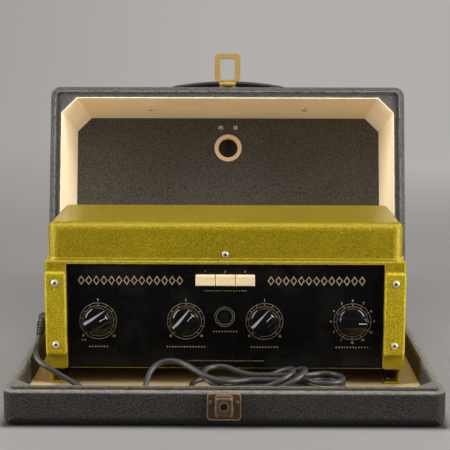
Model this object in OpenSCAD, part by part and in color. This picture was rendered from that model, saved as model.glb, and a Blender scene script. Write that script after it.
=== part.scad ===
// Magnetic drum echo unit standing in its open carrying case. Sizes are millimetres.
// X runs to the right, Y to the back and Z up, from the middle of the tray's underside.

/* [Case] */
// Room from the unit's side to the outside of the case
side_room = 29; // [27:0.5:35]
// Outside depth of the case, front to back
case_d = 300; // [296:1:310]
// Height of the tray's outer rim above the table
tray_h = 37; // [35:0.5:39]
// Outside depth of the lid, rim to top
lid_h = 173; // [172:1:180]
// Thickness of the tray's walls
tray_wall = 10.2; // [9.8:0.2:11.4]
// Thickness of the lid's walls
lid_wall = 13.2; // [12.4:0.2:13.6]
// Round of the long edges of tray and lid
edge_r = 10; // [8:0.5:11]
// Round of the upright corners of tray and lid
corner_r = 13; // [12:0.5:16]
// Leg of the blocks across the inner corners
corner_cut = 20; // [16:1:22]

/* [Echo unit] */
// Width of the unit's body
unit_w = 400; // [380:1:420]
// Depth of the unit's body
unit_d = 146; // [144:1:150]
// Height of the body from its bottom to the seam
body_h = 122.3; // [120.5:0.1:123.5]
// Height of the cover over the drum
cover_h = 42; // [41:0.5:43]
// Distance from the tray's front to the unit's front
front_gap = 111.5; // [109:0.5:114]
// Height of the foot rails
foot_h = 19.3; // [18:0.1:20]
// Round of the cover's top edges
cover_r = 9; // [6:0.5:12]

/* [Controls] */
// Radius of the four knobs
knob_r = 16; // [14:0.5:17]
// Length of the knobs in front of the panel
knob_len = 14; // [12:0.5:16]
// Width of one push key
key_w = 21.4; // [20:0.2:22]
// Height of one push key
key_h = 12; // [10:0.5:13]
// Travel of a push key
key_travel = 4; // [3:0.5:5]

/* [Drum drive] */
// Radius of the magnetic drum
drum_r = 55; // [53:0.5:56]
// Height of the magnetic drum
drum_h = 24; // [20:0.5:25]
// Radius of the rubber idler wheel
idler_r = 14; // [13:0.5:15]
// Radius of the motor pulley
pulley_r = 5; // [4.5:0.5:6]

/* [Fittings] */
// Width of the hasp
hasp_w = 33.6; // [31:0.2:35]
// Distance between the bolts of the carrying strap
strap_span = 210; // [200:1:220]
// Rise of the carrying strap at its middle
strap_rise = 17; // [15:0.5:20]
// Diameter of the mains cord
cord_d = 6; // [5.6:0.1:6]

/* [Hidden] */
$fn = 48;
eps = 0.01;

// Case boards, linings and the step that keeps lid and tray in line
board_t = 10;
lining_t = 1.2;
lid_board = 10.8;
lid_lining_t = 1;
lid_panel_t = 1.2;
lip_t = 6.5;
tongue_gap = 0.4;
tongue_h = 4;
rim_r = 2.5;
floor_z = board_t + lining_t;
case_w = unit_w + 2 * side_room;
back_y = case_d / 2;
front_y = -case_d / 2;
lid_top = tray_h + lid_h;
lid_in = lid_top - lid_board;

// Rear hinges; the open lid leans back until its rear edge stands on the table
hinge_x = 140;
hinge_out = 2.4;
hinge_y = back_y + hinge_out;
hinge_z = tray_h;
knuckle_r = 2.3;
hinge_pin_r = 1.1;
knuckle_w = 8;
leaf_t = 1.2;
leaf_h = 20;
lean_arm = [edge_r + hinge_out, lid_h - edge_r];
lean = atan2(lean_arm[0], lean_arm[1]) + asin((tray_h - edge_r) / norm(lean_arm));
open_angle = 90 + lean;

// Port in the lid
port_y = front_y + 57;
port_r = 13.8;
port_sleeve_r = 15;
port_ring_r = 19.4;
port_screw_x = 10.5;
port_screw_y = front_y + 28;
port_pad = [54, 72, 3.4];
port_pad_shift = 9;

// Carrying strap on the lid's front
strap_z = tray_h + 82;
strap_w = 24;
strap_t = 4.5;
clamp_t = 1.6;
clamp_w = 22;
strap_half = strap_span / 2 - clamp_w / 2;
strap_end = 13;
strap_bend = 45;
strap_bend_r = 19;
shoulder = [strap_half - 2 * strap_bend_r * sin(strap_bend),
    strap_bend_r * (1 - 2 * cos(strap_bend)) - strap_rise];
strap_crown_r = (shoulder * shoulder - strap_bend_r * strap_bend_r) / (-2 * (shoulder[1] + strap_bend_r));
strap_crown_turn = atan2(shoulder[0], shoulder[1] + strap_crown_r);
bolt_r = 2;
bolt_head_r = 4.2;
nut_r = 4.5;
nut_h = 3.4;

// Lock on the tray's front
lock_w = 35;
lock_z = [8, 36.5];
lock_plate_t = 1.8;
lock_box_w = 17.5;
lock_box_z = [14.5, 34.5];
lock_box_y = front_y - 12;
barrel_r = 4;
barrel_z = 25.5;
barrel_back = front_y - 8;
bolt_w = 8;
bolt_y = [front_y - 7.3, front_y - 5.7];
bolt_z = [14.8, 27.8];

// Hasp on the lid's front edge
hasp_z = tray_h + 4;
hasp_y = front_y - 4.3;
hasp_t = 2.2;
hasp_len = 40;
hasp_window = [19, 28];
hasp_knuckle_r = 2.6;
hasp_pin_r = 1.2;
hasp_plate_t = 1.5;

// Unit body
sheet = 1.5;
unit_y0 = front_y + front_gap;
unit_y1 = unit_y0 + unit_d;
unit_yc = (unit_y0 + unit_y1) / 2;
unit_z0 = floor_z + foot_h;
unit_z1 = unit_z0 + body_h;
window_x = unit_w / 2 - 24;
panel_y = unit_y0 + sheet;
panel_t = 2.5;
panel_back = panel_y + panel_t;
plate_top = unit_z0 + sheet;
deck_t = 2;
deck_top = unit_z1 - sheet;
cheek_w = 23.5;
cheek_h = 94;
cheek_t = 7;
cheek_x = window_x + cheek_w / 2;
cheek_z = unit_z0 + 63;
cheek_screw_dz = 35;
cover_w = unit_w - 6;
cover_d = unit_d - 6;
rail_x = unit_w / 2 - 3.4;
rail_t = 2.3;
rail_w = 17.5;
rail_y = [unit_y0 + 4, unit_y1 - 10];
foot_bolt_y = [unit_y0 + 22, unit_y1 - 28];

// Controls
knob_edge = 34.6;
knob_inner = 43.7;
knob_x = [knob_edge - window_x, -knob_inner, knob_inner, window_x - knob_edge];
knob_turn = [59, 42, 45, 90];
knob_up = 54;
knob_z = unit_z0 + knob_up;
knob_gap = 0.6;
spindle_r = 3;
bush_r = 4.5;
pot_r = 12;
pot_len = 12;
switch_r = 16;
switch_len = 30;
key_gap = 0.6;
key_pitch = key_w + key_gap;
key_up = 100.5;
key_z = unit_z0 + key_up;
key_out = key_travel + 2;
key_stem = [8, 6];
key_guide = key_travel + 8;
key_frame_wall = 3;
key_frame_y = panel_back + key_guide;
eye_x = -0.6;
eye_z = unit_z0 + 59;
eye_r = 8.1;
bezel_r = 11.6;
jack_y = unit_y0 + 36;
jack_z = [unit_z0 + 20, unit_z0 + 42];
jack_bore_r = 3.2;
jack_len = 24;

// Drum, idler and motor on the deck
drum_edge = 130;
drum_x = drum_edge - unit_w / 2;
drum_z = deck_top + 6.7;
bearing_r = 9;
spindle_big_r = 4;
run_gap = 0.3;
idler_way = 160;
motor_way = 200;
idler_at = [drum_x, unit_yc] + (drum_r + idler_r + run_gap) * [cos(idler_way), sin(idler_way)];
motor_at = idler_at + (idler_r + pulley_r + run_gap) * [cos(motor_way), sin(motor_way)];
idler_post_r = 2.5;
motor_r = 30;
motor_len = 58;
head_arc = 50;
head_step = 24;
head_gap = 0.4;

// Inside works on the bottom plate
can_r = 17;
can_h = 62;
can_pitch = 42;
can_x = [drum_x - 18, drum_x - 18 + can_pitch];
chassis_end = [can_x[1] + can_r + 9, unit_w / 2 - 20];
chassis_x = (chassis_end[0] + chassis_end[1]) / 2;
chassis_y = unit_y1 - 29;
chassis_size = [chassis_end[1] - chassis_end[0], 44, 26];
valve_r = 10.5;
valve_end = 28;
valve_pitch = (chassis_size[0] - 2 * valve_end) / 4;
core = [66, 26, 54];
core_foot = [76, 32, 3];
coil = [34, 48, 36];
core_y = unit_y1 - 38;

// Cord: exit of the gland, hand-set route to the hank, then hank, two wraps and plug
cord_r = cord_d / 2;
lay_z = floor_z + 3.2;
gland_out = 6;
gland_lean = 3;
gland_at = [-unit_w / 2 - gland_out, unit_y0 + 26.3, unit_z0 + 50.1];
gland_end = [gland_at[0] - gland_lean, unit_y0 + 13.1, unit_z0 + 33.1];
lead_out = 6;
neck_x = [34, 85];
neck_half = 9;
neck_cuts = 5;
hank_y = -72;
hank_r = 19.4;
upper_z = lay_z + 15.6;
lower_z = lay_z + 8.9;
crest_z = lay_z + 22.2;
right_x = 110;
right_dip = [0.8, 0.9];
left_x = [-18, -4];
bulb_cuts = 12;
ring_step = 7;
cord_route = concat([gland_end, gland_end + lead_out * along(gland_end - gland_at)], [
    [-210.6, -33.8, 54.8], [-211.2, -39.8, 51.4], [-210.3, -47.1, 48], [-207, -53.8, 44.2],
    [-201.1, -59.5, 40.3], [-192.1, -63.5, 36.1], [-184, -65, 31.6], [-174.4, -67, 26.6],
    [-164.4, -70, 21.8], [-154.8, -75.4, 17.8], [-145.6, -83, 15.2], [-136.4, -92.4, 14.4],
    [-127.4, -101.8, 14.4], [-118.4, -108.6, 14.4], [-108.4, -111, 14.6], [-98.8, -109, 16.4],
    [-90.8, -103.2, 20.2], [-85.8, -95, 25.6], [-83.4, -86.4, 31.6], [-80.8, -78.6, 37.6],
    [-75.2, -72, 42.8], [-66.6, -68.6, 46.2], [-56.4, -69, 47.4], [-46, -73, 46],
    [-36.4, -79.4, 42.8], [-26.8, -86, 39], [-16.6, -91.6, 35.6], [-5.4, -94.4, 32.8],
    [6, -92.2, 31.2], [16.6, -86.8, 30.3], [26, -82.4, 30], [34, -81, 30], [44.2, -81, 30]]);
floor_bulge = 11.5;
floor_hump = 7.1;
floor_cuts = 10;
back_r = 20;
turn_r = 24;
wrap_x = 74.2;
wrap_drift = -17.4;
wrap_slant = [20, 28];
wrap_r = [23, 11.75];
wrap_step = 18;
wrap_end = 540;
tail_route = [
    [37.4, -95.8, 25.2], [28, -97.2, 26.1], [18.6, -101, 25.7], [10.2, -106.6, 24.2], [1.8, -112, 23],
    [-7, -115.8, 22.5], [-16, -117.8, 22.4], [-22, -118, 22.4], [-28, -118, 22.4]];
plug_at = [-28, -118, 22.4];
plug_len = 34;
plug_r = 10.8;
pin_r = 2.4;
pin_len = 19;

// Colours of the preview
vinyl = [0.24, 0.24, 0.25];
cream = [0.85, 0.78, 0.60];
gold = [0.72, 0.60, 0.18];
black = [0.06, 0.06, 0.07];
brass = [0.70, 0.50, 0.25];
nickel = [0.72, 0.72, 0.70];
steel = [0.55, 0.56, 0.58];
ivory = [0.90, 0.87, 0.76];
rubber = [0.40, 0.40, 0.41];

// Rounded rectangle about the origin
module rrect(w, d, r) {
    square([w - 2 * r, d], center = true);
    square([w, d - 2 * r], center = true);
    for (sx = [-1, 1], sy = [-1, 1]) translate([sx * (w / 2 - r), sy * (d / 2 - r)]) circle(r);
}

// Upright section: width w about X, height h from 0, with its low and high corners rounded
module section(w, h, low, high) {
    translate([-w / 2, low]) square([w, h - low - high]);
    if (low > 0) {
        translate([-w / 2 + low, 0]) square([w - 2 * low, low + eps]);
        for (s = [-1, 1]) translate([s * (w / 2 - low), low]) circle(low);
    }
    if (high > 0) {
        translate([-w / 2 + high, h - high - eps]) square([w - 2 * high, high + eps]);
        for (s = [-1, 1]) translate([s * (w / 2 - high), h - high]) circle(high);
    }
}

// Box standing on the origin with rounded upright, low and high edges
module soft_box(w, d, h, upright, low, high) {
    intersection() {
        linear_extrude(h) rrect(w, d, upright);
        rotate([90, 0, 0]) translate([0, 0, -d / 2]) linear_extrude(d) section(w, h, low, high);
        rotate([90, 0, 90]) translate([0, 0, -w / 2]) linear_extrude(w) section(d, h, low, high);
    }
}

// Rectangle with its corners cut off by blocks of leg c, drawn in all round by t
module cut_rect(w, d, c, t = 0) {
    a = w / 2 - t;
    b = d / 2 - t;
    k = c - (2 - sqrt(2)) * t;
    polygon([[a - k, -b], [a, k - b], [a, b - k], [a - k, b],
        [k - a, b], [-a, b - k], [-a, k - b], [k - a, -b]]);
}

// Part of a flat ring between two angles
module ring_part(r_in, r_out, from, to) {
    far = 2 * r_out;
    intersection() {
        difference() {
            circle(r_out);
            circle(r_in);
        }
        polygon([[0, 0], far * [cos(from), sin(from)],
            far * [cos((from + to) / 2), sin((from + to) / 2)], far * [cos(to), sin(to)]]);
    }
}

// Cylinder along Y from y to y + len, and along X from x to x + len
module rod_y(x, y, z, r, len) {
    translate([x, y, z]) rotate([-90, 0, 0]) cylinder(r = r, h = len);
}
module rod_x(x, y, z, r, len) {
    translate([x, y, z]) rotate([0, 90, 0]) cylinder(r = r, h = len);
}

// Turns the closed lid back about its hinges to where it stands open
module lid_place() {
    translate([0, hinge_y, hinge_z]) rotate([-open_angle, 0, 0]) translate([0, -hinge_y, -hinge_z])
        children();
}

// Round-headed screw along -Z from the origin, with a slot or a hollow in its head
module screw(head_r, head_h, shank_r, len, hollow = 0) {
    difference() {
        union() {
            rotate_extrude() intersection() {
                translate([0, head_h - 2 * head_r]) circle(2 * head_r);
                square([head_r, head_h]);
            }
            translate([0, 0, -len]) cylinder(r = shank_r, h = len + eps);
        }
        if (hollow > 0) translate([0, 0, head_h - 1.4]) cylinder(r = hollow, h = 3);
        if (hollow == 0) translate([-head_r - 1, -0.35, head_h - 0.7]) cube([2 * head_r + 2, 0.7, 2]);
    }
}

// Tray of the case with its walls, corner blocks and raised tongue
module tray_carcass() {
    inset = lip_t + tongue_gap;
    color(vinyl) difference() {
        union() {
            soft_box(case_w, case_d, tray_h, corner_r, edge_r, rim_r);
            translate([0, 0, board_t]) linear_extrude(tray_h + tongue_h - board_t)
                rrect(case_w - 2 * inset, case_d - 2 * inset, corner_r - lip_t);
        }
        translate([0, 0, board_t]) linear_extrude(tray_h)
            cut_rect(case_w - 2 * tray_wall, case_d - 2 * tray_wall, corner_cut);
        foot_bolt_places() translate([0, 0, -9]) cylinder(r = bolt_r + 0.05, h = 14);
        lock_screw_places() translate([0, 0, -9]) cylinder(r = 1.55, h = 14);
    }
}

module tray_lining() {
    color(cream) difference() {
        translate([0, 0, board_t]) linear_extrude(lining_t)
            cut_rect(case_w - 2 * tray_wall, case_d - 2 * tray_wall, corner_cut);
        foot_bolt_places() translate([0, 0, -5]) cylinder(r = bolt_r + 0.05, h = 12);
    }
}

module lock_screw_places() {
    for (s = [-1, 1]) translate([s * 13.3, front_y - lock_plate_t, 27]) rotate([90, 0, 0]) children();
}

// Pressed lock plate with its raised box, key barrel seat and bolt channel
module lock_case() {
    zc = (lock_z[0] + lock_z[1]) / 2;
    bc = (lock_box_z[0] + lock_box_z[1]) / 2;
    color(brass) difference() {
        union() {
            translate([0, front_y, zc]) rotate([90, 0, 0]) linear_extrude(lock_plate_t)
                rrect(lock_w, lock_z[1] - lock_z[0], 4);
            translate([0, front_y - lock_plate_t + eps, bc]) rotate([90, 0, 0])
                soft_box(lock_box_w, lock_box_z[1] - lock_box_z[0],
                    front_y - lock_plate_t - lock_box_y, 3, 0, 1.5);
        }
        rod_y(0, lock_box_y - 1, barrel_z, barrel_r + 0.05, barrel_back - lock_box_y + 1);
        translate([-bolt_w / 2 - 0.1, bolt_y[0] - 0.1, bolt_z[0] - 2])
            cube([bolt_w + 0.2, bolt_y[1] - bolt_y[0] + 0.2, bolt_z[1] - bolt_z[0] + 2.4]);
        lock_screw_places() translate([0, 0, -5]) cylinder(r = 1.55, h = 12);
    }
}

module lock_screws() {
    color(nickel) lock_screw_places() screw(2.3, 1.2, 1.5, 8);
}

// Key barrel with its keyhole, turning about Y
module lock_barrel() {
    color(brass) difference() {
        rod_y(0, lock_box_y - 0.4, barrel_z, barrel_r, barrel_back - lock_box_y + 0.3);
        rod_y(0, lock_box_y - 1, barrel_z + 0.8, 1.2, 3.4);
        translate([-0.5, lock_box_y - 1, barrel_z - 2.6]) cube([1, 3.4, 3.4]);
    }
}

module lock_bolt() {
    color(brass) translate([-bolt_w / 2, bolt_y[0], bolt_z[0]])
        cube([bolt_w, bolt_y[1] - bolt_y[0], bolt_z[1] - bolt_z[0]]);
}

// One set of hinge knuckles with the tabs that join them to a leaf above or below the pin
module knuckles(first, up) {
    for (k = [first:2:4]) {
        x = (k - 2.5) * knuckle_w + 0.15;
        rod_x(x, hinge_y, hinge_z, knuckle_r, knuckle_w - 0.3);
        translate([x, back_y, up ? hinge_z : hinge_z - 4]) cube([knuckle_w - 0.3, leaf_t, 4]);
    }
    translate([-2.5 * knuckle_w, back_y, up ? hinge_z + 3 : hinge_z - 3 - leaf_h])
        cube([5 * knuckle_w, leaf_t, leaf_h]);
}

// Rear hinge leaves on the tray, each with its pin riveted into its own knuckles
module hinge_base_leaves() {
    color(brass) for (s = [-1, 1]) translate([s * hinge_x, 0, 0]) {
        knuckles(0, false);
        rod_x(-2.5 * knuckle_w + 0.2, hinge_y, hinge_z, hinge_pin_r, 5 * knuckle_w - 0.4);
    }
}

module hinge_lid_leaves() {
    color(brass) lid_place() for (s = [-1, 1]) translate([s * hinge_x, 0, 0]) difference() {
        knuckles(1, true);
        rod_x(-2.5 * knuckle_w, hinge_y, hinge_z, hinge_pin_r + 0.06, 5 * knuckle_w);
    }
}

// Deep lid with a step at its rim that takes the tray's tongue
module lid_carcass() {
    seat = tongue_h + 0.5;
    color(vinyl) lid_place() difference() {
        translate([0, 0, tray_h]) soft_box(case_w, case_d, lid_h, corner_r, rim_r, edge_r);
        translate([0, 0, tray_h - 1]) linear_extrude(lid_h - lid_board + 1)
            cut_rect(case_w - 2 * lid_wall, case_d - 2 * lid_wall, corner_cut);
        translate([0, 0, tray_h - 1]) linear_extrude(seat + 1)
            rrect(case_w - 2 * lip_t, case_d - 2 * lip_t, corner_r - lip_t);
        translate([0, port_y, lid_in - 1]) cylinder(r = port_sleeve_r + 0.05, h = lid_board + 2);
        port_screw_places() translate([0, 0, -20]) cylinder(r = 1.65, h = 30);
        strap_bolt_places() translate([0, 0, -30]) cylinder(r = bolt_r + 0.05, h = 40);
    }
}

// Pale lining of the lid's four walls and corner blocks
module lid_lining() {
    from = tray_h + tongue_h + 0.5;
    color(cream) lid_place() difference() {
        translate([0, 0, from]) linear_extrude(lid_in - from)
            cut_rect(case_w - 2 * lid_wall, case_d - 2 * lid_wall, corner_cut);
        translate([0, 0, from - 1]) linear_extrude(lid_in - from + 2)
            cut_rect(case_w - 2 * lid_wall, case_d - 2 * lid_wall, corner_cut, lid_lining_t);
        strap_bolt_places() translate([0, 0, -30]) cylinder(r = bolt_r + 0.05, h = 40);
    }
}

module lid_panel() {
    color(vinyl) lid_place() difference() {
        translate([0, 0, lid_in - lid_panel_t]) linear_extrude(lid_panel_t)
            cut_rect(case_w - 2 * lid_wall, case_d - 2 * lid_wall, corner_cut, lid_lining_t);
        translate([0, port_y, lid_in - 3]) cylinder(r = port_sleeve_r + 0.05, h = 6);
        port_screw_places() translate([0, 0, -20]) cylinder(r = 1.65, h = 30);
    }
}

// Eyelet of the port, its flange on the panel and its sleeve through the board
module port_ring() {
    top = lid_in - lid_panel_t;
    color(cream) lid_place() translate([0, port_y, 0]) difference() {
        union() {
            translate([0, 0, top - 2.2]) rotate_extrude() {
                square([port_ring_r - 1.1, 2.2]);
                translate([port_ring_r - 1.1, 1.1]) circle(1.1);
            }
            translate([0, 0, top - eps]) cylinder(r = port_sleeve_r, h = lid_top - top);
        }
        translate([0, 0, top - 4]) cylinder(r = port_r, h = lid_board + 10);
    }
}

module port_screw_places() {
    for (s = [-1, 1]) translate([s * port_screw_x, port_screw_y, lid_in - lid_panel_t])
        rotate([180, 0, 0]) children();
}

// Leather pad that closes the port from outside
module port_cover() {
    color(black) lid_place() difference() {
        translate([0, port_y - port_pad_shift, lid_top])
            soft_box(port_pad[0], port_pad[1], port_pad[2], 10, 0, 1.2);
        port_screw_places() translate([0, 0, -14]) cylinder(r = 1.65, h = 10);
    }
}

module port_screws() {
    color(nickel) lid_place() port_screw_places() screw(3.2, 1.8, 1.6, lid_board + lid_panel_t + 1.6);
}

module strap_bolt_places() {
    for (s = [-1, 1]) translate([s * strap_span / 2, front_y - strap_t, strap_z])
        rotate([90, 0, 0]) children();
}

// Carrying strap: two flat ends, two bends away from the lid, two shoulders and a low crown between them
module strap_outline() {
    flat = strap_span / 2 - strap_half;
    mid = strap_t / 2;
    for (s = [-1, 1]) scale([s, 1]) {
        translate([strap_half, 0]) square([flat + strap_end, strap_t]);
        translate([strap_half, strap_bend_r + mid])
            ring_part(strap_bend_r - mid, strap_bend_r + mid, 270 - strap_bend, 270.5);
        translate([shoulder[0], shoulder[1] + strap_rise + mid])
            ring_part(strap_bend_r - mid, strap_bend_r + mid, 90 - strap_bend - 0.5, 90.5 - strap_crown_turn);
    }
    translate([0, strap_rise + mid - strap_crown_r])
        ring_part(strap_crown_r - mid, strap_crown_r + mid, 90 - strap_crown_turn - 0.1,
            90 + strap_crown_turn + 0.1, $fn = 240);
}

module handle_strap() {
    color(black) lid_place() difference() {
        translate([0, front_y, strap_z + strap_w / 2]) rotate([180, 0, 0]) linear_extrude(strap_w)
            strap_outline();
        strap_bolt_places() translate([0, 0, -10]) cylinder(r = bolt_r + 0.05, h = 20);
    }
}

module handle_clamps() {
    color(brass) lid_place() strap_bolt_places() difference() {
        linear_extrude(clamp_t) rrect(clamp_w, strap_w + 3, 4);
        translate([0, 0, -1]) cylinder(r = bolt_r + 0.05, h = 5);
    }
}

// Bolts of the strap, each with the round nut that holds it inside the lid
module handle_bolts() {
    grip = strap_t + lid_wall + lid_lining_t;
    color(brass) lid_place() strap_bolt_places() {
        translate([0, 0, clamp_t]) screw(bolt_head_r, 2.4, bolt_r, grip + clamp_t + 2);
        translate([0, 0, -grip - nut_h]) rotate_extrude() intersection() {
            translate([0, nut_h]) scale([1, nut_h / nut_r]) circle(nut_r);
            square([nut_r, nut_h]);
        }
    }
}

// Hasp plate on the lid with its two outer knuckles and the pin fixed in them
module hasp_plate() {
    color(brass) lid_place() {
        translate([0, front_y, hasp_z + 3.2 + 9]) rotate([90, 0, 0])
            linear_extrude(hasp_plate_t) rrect(22, 18, 2.5);
        for (s = [-1, 1]) {
            rod_x(s * 7.9 - 2.6, hasp_y, hasp_z, hasp_knuckle_r, 5.2);
            translate([s * 7.9 - 2.6, front_y - hasp_plate_t, hasp_z]) cube([5.2, hasp_plate_t, 5]);
            translate([s * 7.9 - 2.6, hasp_y, hasp_z + 0.4]) cube([5.2, -hasp_y + front_y - 0.5, 2]);
        }
        rod_x(-8, hasp_y, hasp_z, hasp_pin_r, 16);
    }
}

// Hasp standing square to the lid's front, a frame round the window that takes the lock box
module hasp_loop() {
    from = 3.3;
    color(brass) lid_place() translate([0, hasp_y, hasp_z]) rotate([-90, 0, 0]) difference() {
        union() {
            rod_x(-5, 0, 0, hasp_knuckle_r, 10);
            translate([-5, -hasp_t / 2, -from - 2]) cube([10, hasp_t, from + 2]);
            translate([0, hasp_t / 2, -from - (hasp_len - from) / 2]) rotate([90, 0, 0])
                linear_extrude(hasp_t) rrect(hasp_w, hasp_len - from, 6);
        }
        rod_x(-6, 0, 0, hasp_pin_r + 0.06, 12);
        translate([0, hasp_t, -5.5 - hasp_window[1] / 2]) rotate([90, 0, 0])
            linear_extrude(2 * hasp_t) rrect(hasp_window[0], hasp_window[1], 3);
    }
}

// Folded rails under the unit, a top flange, an upright web and a foot turned inwards
module foot_rails() {
    len = rail_y[1] - rail_y[0];
    color(gold) difference() {
        for (s = [-1, 1]) scale([s, 1, 1]) translate([rail_x, rail_y[0], floor_z]) {
            translate([-rail_w, 0, 0]) cube([rail_w, len, rail_t]);
            translate([-rail_t, 0, 0]) cube([rail_t, len, foot_h]);
            translate([-rail_w, 0, foot_h - rail_t]) cube([rail_w, len, rail_t]);
        }
        foot_bolt_places() translate([0, 0, -10]) cylinder(r = bolt_r + 0.05, h = 12);
    }
}

module foot_bolt_places() {
    for (s = [-1, 1], y = foot_bolt_y)
        translate([s * (rail_x - rail_w / 2 - 1), y, floor_z + rail_t]) children();
}

module foot_bolts() {
    color(nickel) foot_bolt_places() screw(4, 2.2, bolt_r, rail_t + lining_t + 5);
}

// Gold body folded from sheet, open to the panel in front and to the deck above
module body_shell() {
    color(gold) difference() {
        translate([0, unit_yc, unit_z0]) soft_box(unit_w, unit_d, body_h, 3, 0, 3);
        translate([-unit_w / 2 + sheet, unit_y0 + sheet, unit_z0 - 1])
            cube([unit_w - 2 * sheet, unit_d - 2 * sheet, body_h - sheet + 1]);
        translate([-unit_w / 2 + 12, unit_y0 + 14, unit_z1 - 4]) cube([unit_w - 24, unit_d - 28, 8]);
        translate([-window_x, unit_y0 - 1, plate_top]) cube([2 * window_x, 4, body_h - sheet - 4]);
        for (z = jack_z) rod_x(unit_w / 2 - 4, jack_y, z, 5.05, 8);
        rod_x(-unit_w / 2 - 4, gland_at[1], gland_at[2], 5.05, 8);
        unit_screw_holes();
    }
}

module bottom_plate() {
    color(gold) translate([-unit_w / 2 + sheet, unit_y0 + sheet, unit_z0])
        cube([unit_w - 2 * sheet, unit_d - 2 * sheet, sheet]);
}

// Black panel behind the body's window with the openings of its controls
module front_panel() {
    w = 2 * window_x + 8;
    top = deck_top - deck_t - 0.2;
    color(black) difference() {
        translate([-w / 2, panel_y, plate_top]) cube([w, panel_t, top - plate_top]);
        for (x = knob_x) rod_y(x, panel_y - 1, knob_z, bush_r + 0.05, panel_t + 2);
        rod_y(eye_x, panel_y - 1, eye_z, eye_r + 0.65, panel_t + 2);
        translate([-1.5 * key_pitch - 0.2, panel_y - 1, key_z - key_h / 2 - 0.3])
            cube([3 * key_pitch + 0.4, panel_t + 2, key_h + 0.6]);
    }
}

// Raised cheek beside the panel, with its outer edges rounded
module cheek(s) {
    color(gold) difference() {
        translate([s * cheek_x, unit_y0, cheek_z]) rotate([90, 0, 0])
            soft_box(cheek_w, cheek_h, cheek_t, 4, 0, 3);
        unit_screw_holes();
    }
}
module cheek_left() {
    cheek(-1);
}
module cheek_right() {
    cheek(1);
}

module cheek_screw_places() {
    for (s = [-1, 1], t = [-1, 1])
        translate([s * cheek_x, unit_y0 - cheek_t, cheek_z + t * cheek_screw_dz]) rotate([90, 0, 0])
            children();
}

module cover_screw_place() {
    translate([0, unit_yc - cover_d / 2, unit_z1 + 6.5]) rotate([90, 0, 0]) children();
}

module unit_screw_holes() {
    cheek_screw_places() translate([0, 0, -12]) cylinder(r = 1.85, h = 20);
    cover_screw_place() translate([0, 0, -4]) cylinder(r = 1.85, h = 12);
}

// Hollow-headed nickel screws of the cheeks and the slotted screw of the cover
module unit_screws() {
    color(nickel) {
        cheek_screw_places() screw(3.7, 1.9, 1.8, cheek_t + sheet + 1, 1.6);
        cover_screw_place() screw(3.6, 1.8, 1.8, sheet + 1.2);
    }
}

// Drawn cover over the drum, with a rolled bead round its foot
module top_cover() {
    color(gold) translate([0, unit_yc, unit_z1]) difference() {
        union() {
            soft_box(cover_w, cover_d, cover_h, 13, 0, cover_r);
            linear_extrude(2) rrect(cover_w + 3, cover_d + 3, 14);
        }
        translate([0, 0, -1]) soft_box(cover_w - 2 * sheet, cover_d - 2 * sheet, cover_h - sheet + 1,
            13 - sheet, 0, cover_r - sheet);
        translate([0, -unit_yc, -unit_z1]) unit_screw_holes();
    }
}

// Steel deck under the body's top flange, which carries the drum and hangs the motor
module drum_deck() {
    color(steel) difference() {
        translate([-unit_w / 2 + sheet, panel_back, deck_top - deck_t])
            cube([unit_w - 2 * sheet, unit_y1 - sheet - panel_back, deck_t]);
        translate([drum_x, unit_yc, deck_top - 5]) cylinder(r = bearing_r + 0.05, h = 10);
        translate([motor_at[0], motor_at[1], deck_top - 5]) cylinder(r = 4, h = 10);
    }
}

module drum_bearing() {
    color(brass) translate([drum_x, unit_yc, 0]) difference() {
        union() {
            translate([0, 0, deck_top - 12]) cylinder(r = bearing_r, h = 12 + eps);
            translate([0, 0, deck_top]) cylinder(r = 16, h = 3);
        }
        translate([0, 0, deck_top - 20]) cylinder(r = spindle_big_r + 0.04, h = 40);
    }
}

// Drum with its rim, thin web, hub and spindle
module drum() {
    top = drum_h;
    color(brass) translate([drum_x, unit_yc, drum_z]) rotate_extrude() union() {
        translate([0, 6]) square([drum_r - 1, 4]);
        translate([drum_r - 6, 0]) square([6, top]);
        square([12, top - 6]);
        translate([0, -3.4]) square([9, 4]);
        translate([0, -22]) square([spindle_big_r, top + 20]);
    }
}

module idler_post() {
    color(steel) translate([idler_at[0], idler_at[1], deck_top]) {
        cylinder(r = 6, h = drum_z - deck_top + 2);
        cylinder(r = idler_post_r, h = drum_z - deck_top + 12);
    }
}

module idler_wheel() {
    color(black) translate([idler_at[0], idler_at[1], drum_z + 2.2]) difference() {
        cylinder(r = idler_r, h = 7);
        translate([0, 0, -1]) cylinder(r = idler_post_r + 0.05, h = 10);
        translate([0, 0, 5]) difference() {
            cylinder(r = idler_r - 3, h = 3);
            translate([0, 0, -1]) cylinder(r = 5, h = 5);
        }
    }
}

module motor_can() {
    color(steel) translate([motor_at[0], motor_at[1], deck_top - deck_t - motor_len]) difference() {
        union() {
            cylinder(r = motor_r, h = motor_len - 4);
            cylinder(r = motor_r - 6, h = motor_len);
        }
        translate([0, 0, 20]) cylinder(r = 2.56, h = motor_len);
    }
}

module motor_spindle() {
    color(nickel) translate([motor_at[0], motor_at[1], 0]) {
        translate([0, 0, deck_top - 36]) cylinder(r = 2.5, h = drum_z - deck_top + 48);
        translate([0, 0, drum_z + 1]) cylinder(r = pulley_r, h = 10);
    }
}

// Curved block on the deck that carries the heads round the drum
module head_bracket() {
    color(steel) translate([drum_x, unit_yc, deck_top]) linear_extrude(drum_z - deck_top + 2)
        ring_part(drum_r + 3, drum_r + 20, -head_arc, head_arc);
}

// One head, its gap face close to the drum
module head(way) {
    color(nickel) translate([drum_x, unit_yc, drum_z + 2]) rotate([0, 0, way * head_step]) difference() {
        translate([drum_r - 2, -5.5, 0]) cube([20, 11, 17]);
        translate([0, 0, -1]) cylinder(r = drum_r + head_gap, h = 20);
    }
}
module record_heads() {
    for (k = [-2, -1]) head(k);
}
module playback_heads() {
    for (k = [0:2]) head(k);
}

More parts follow.
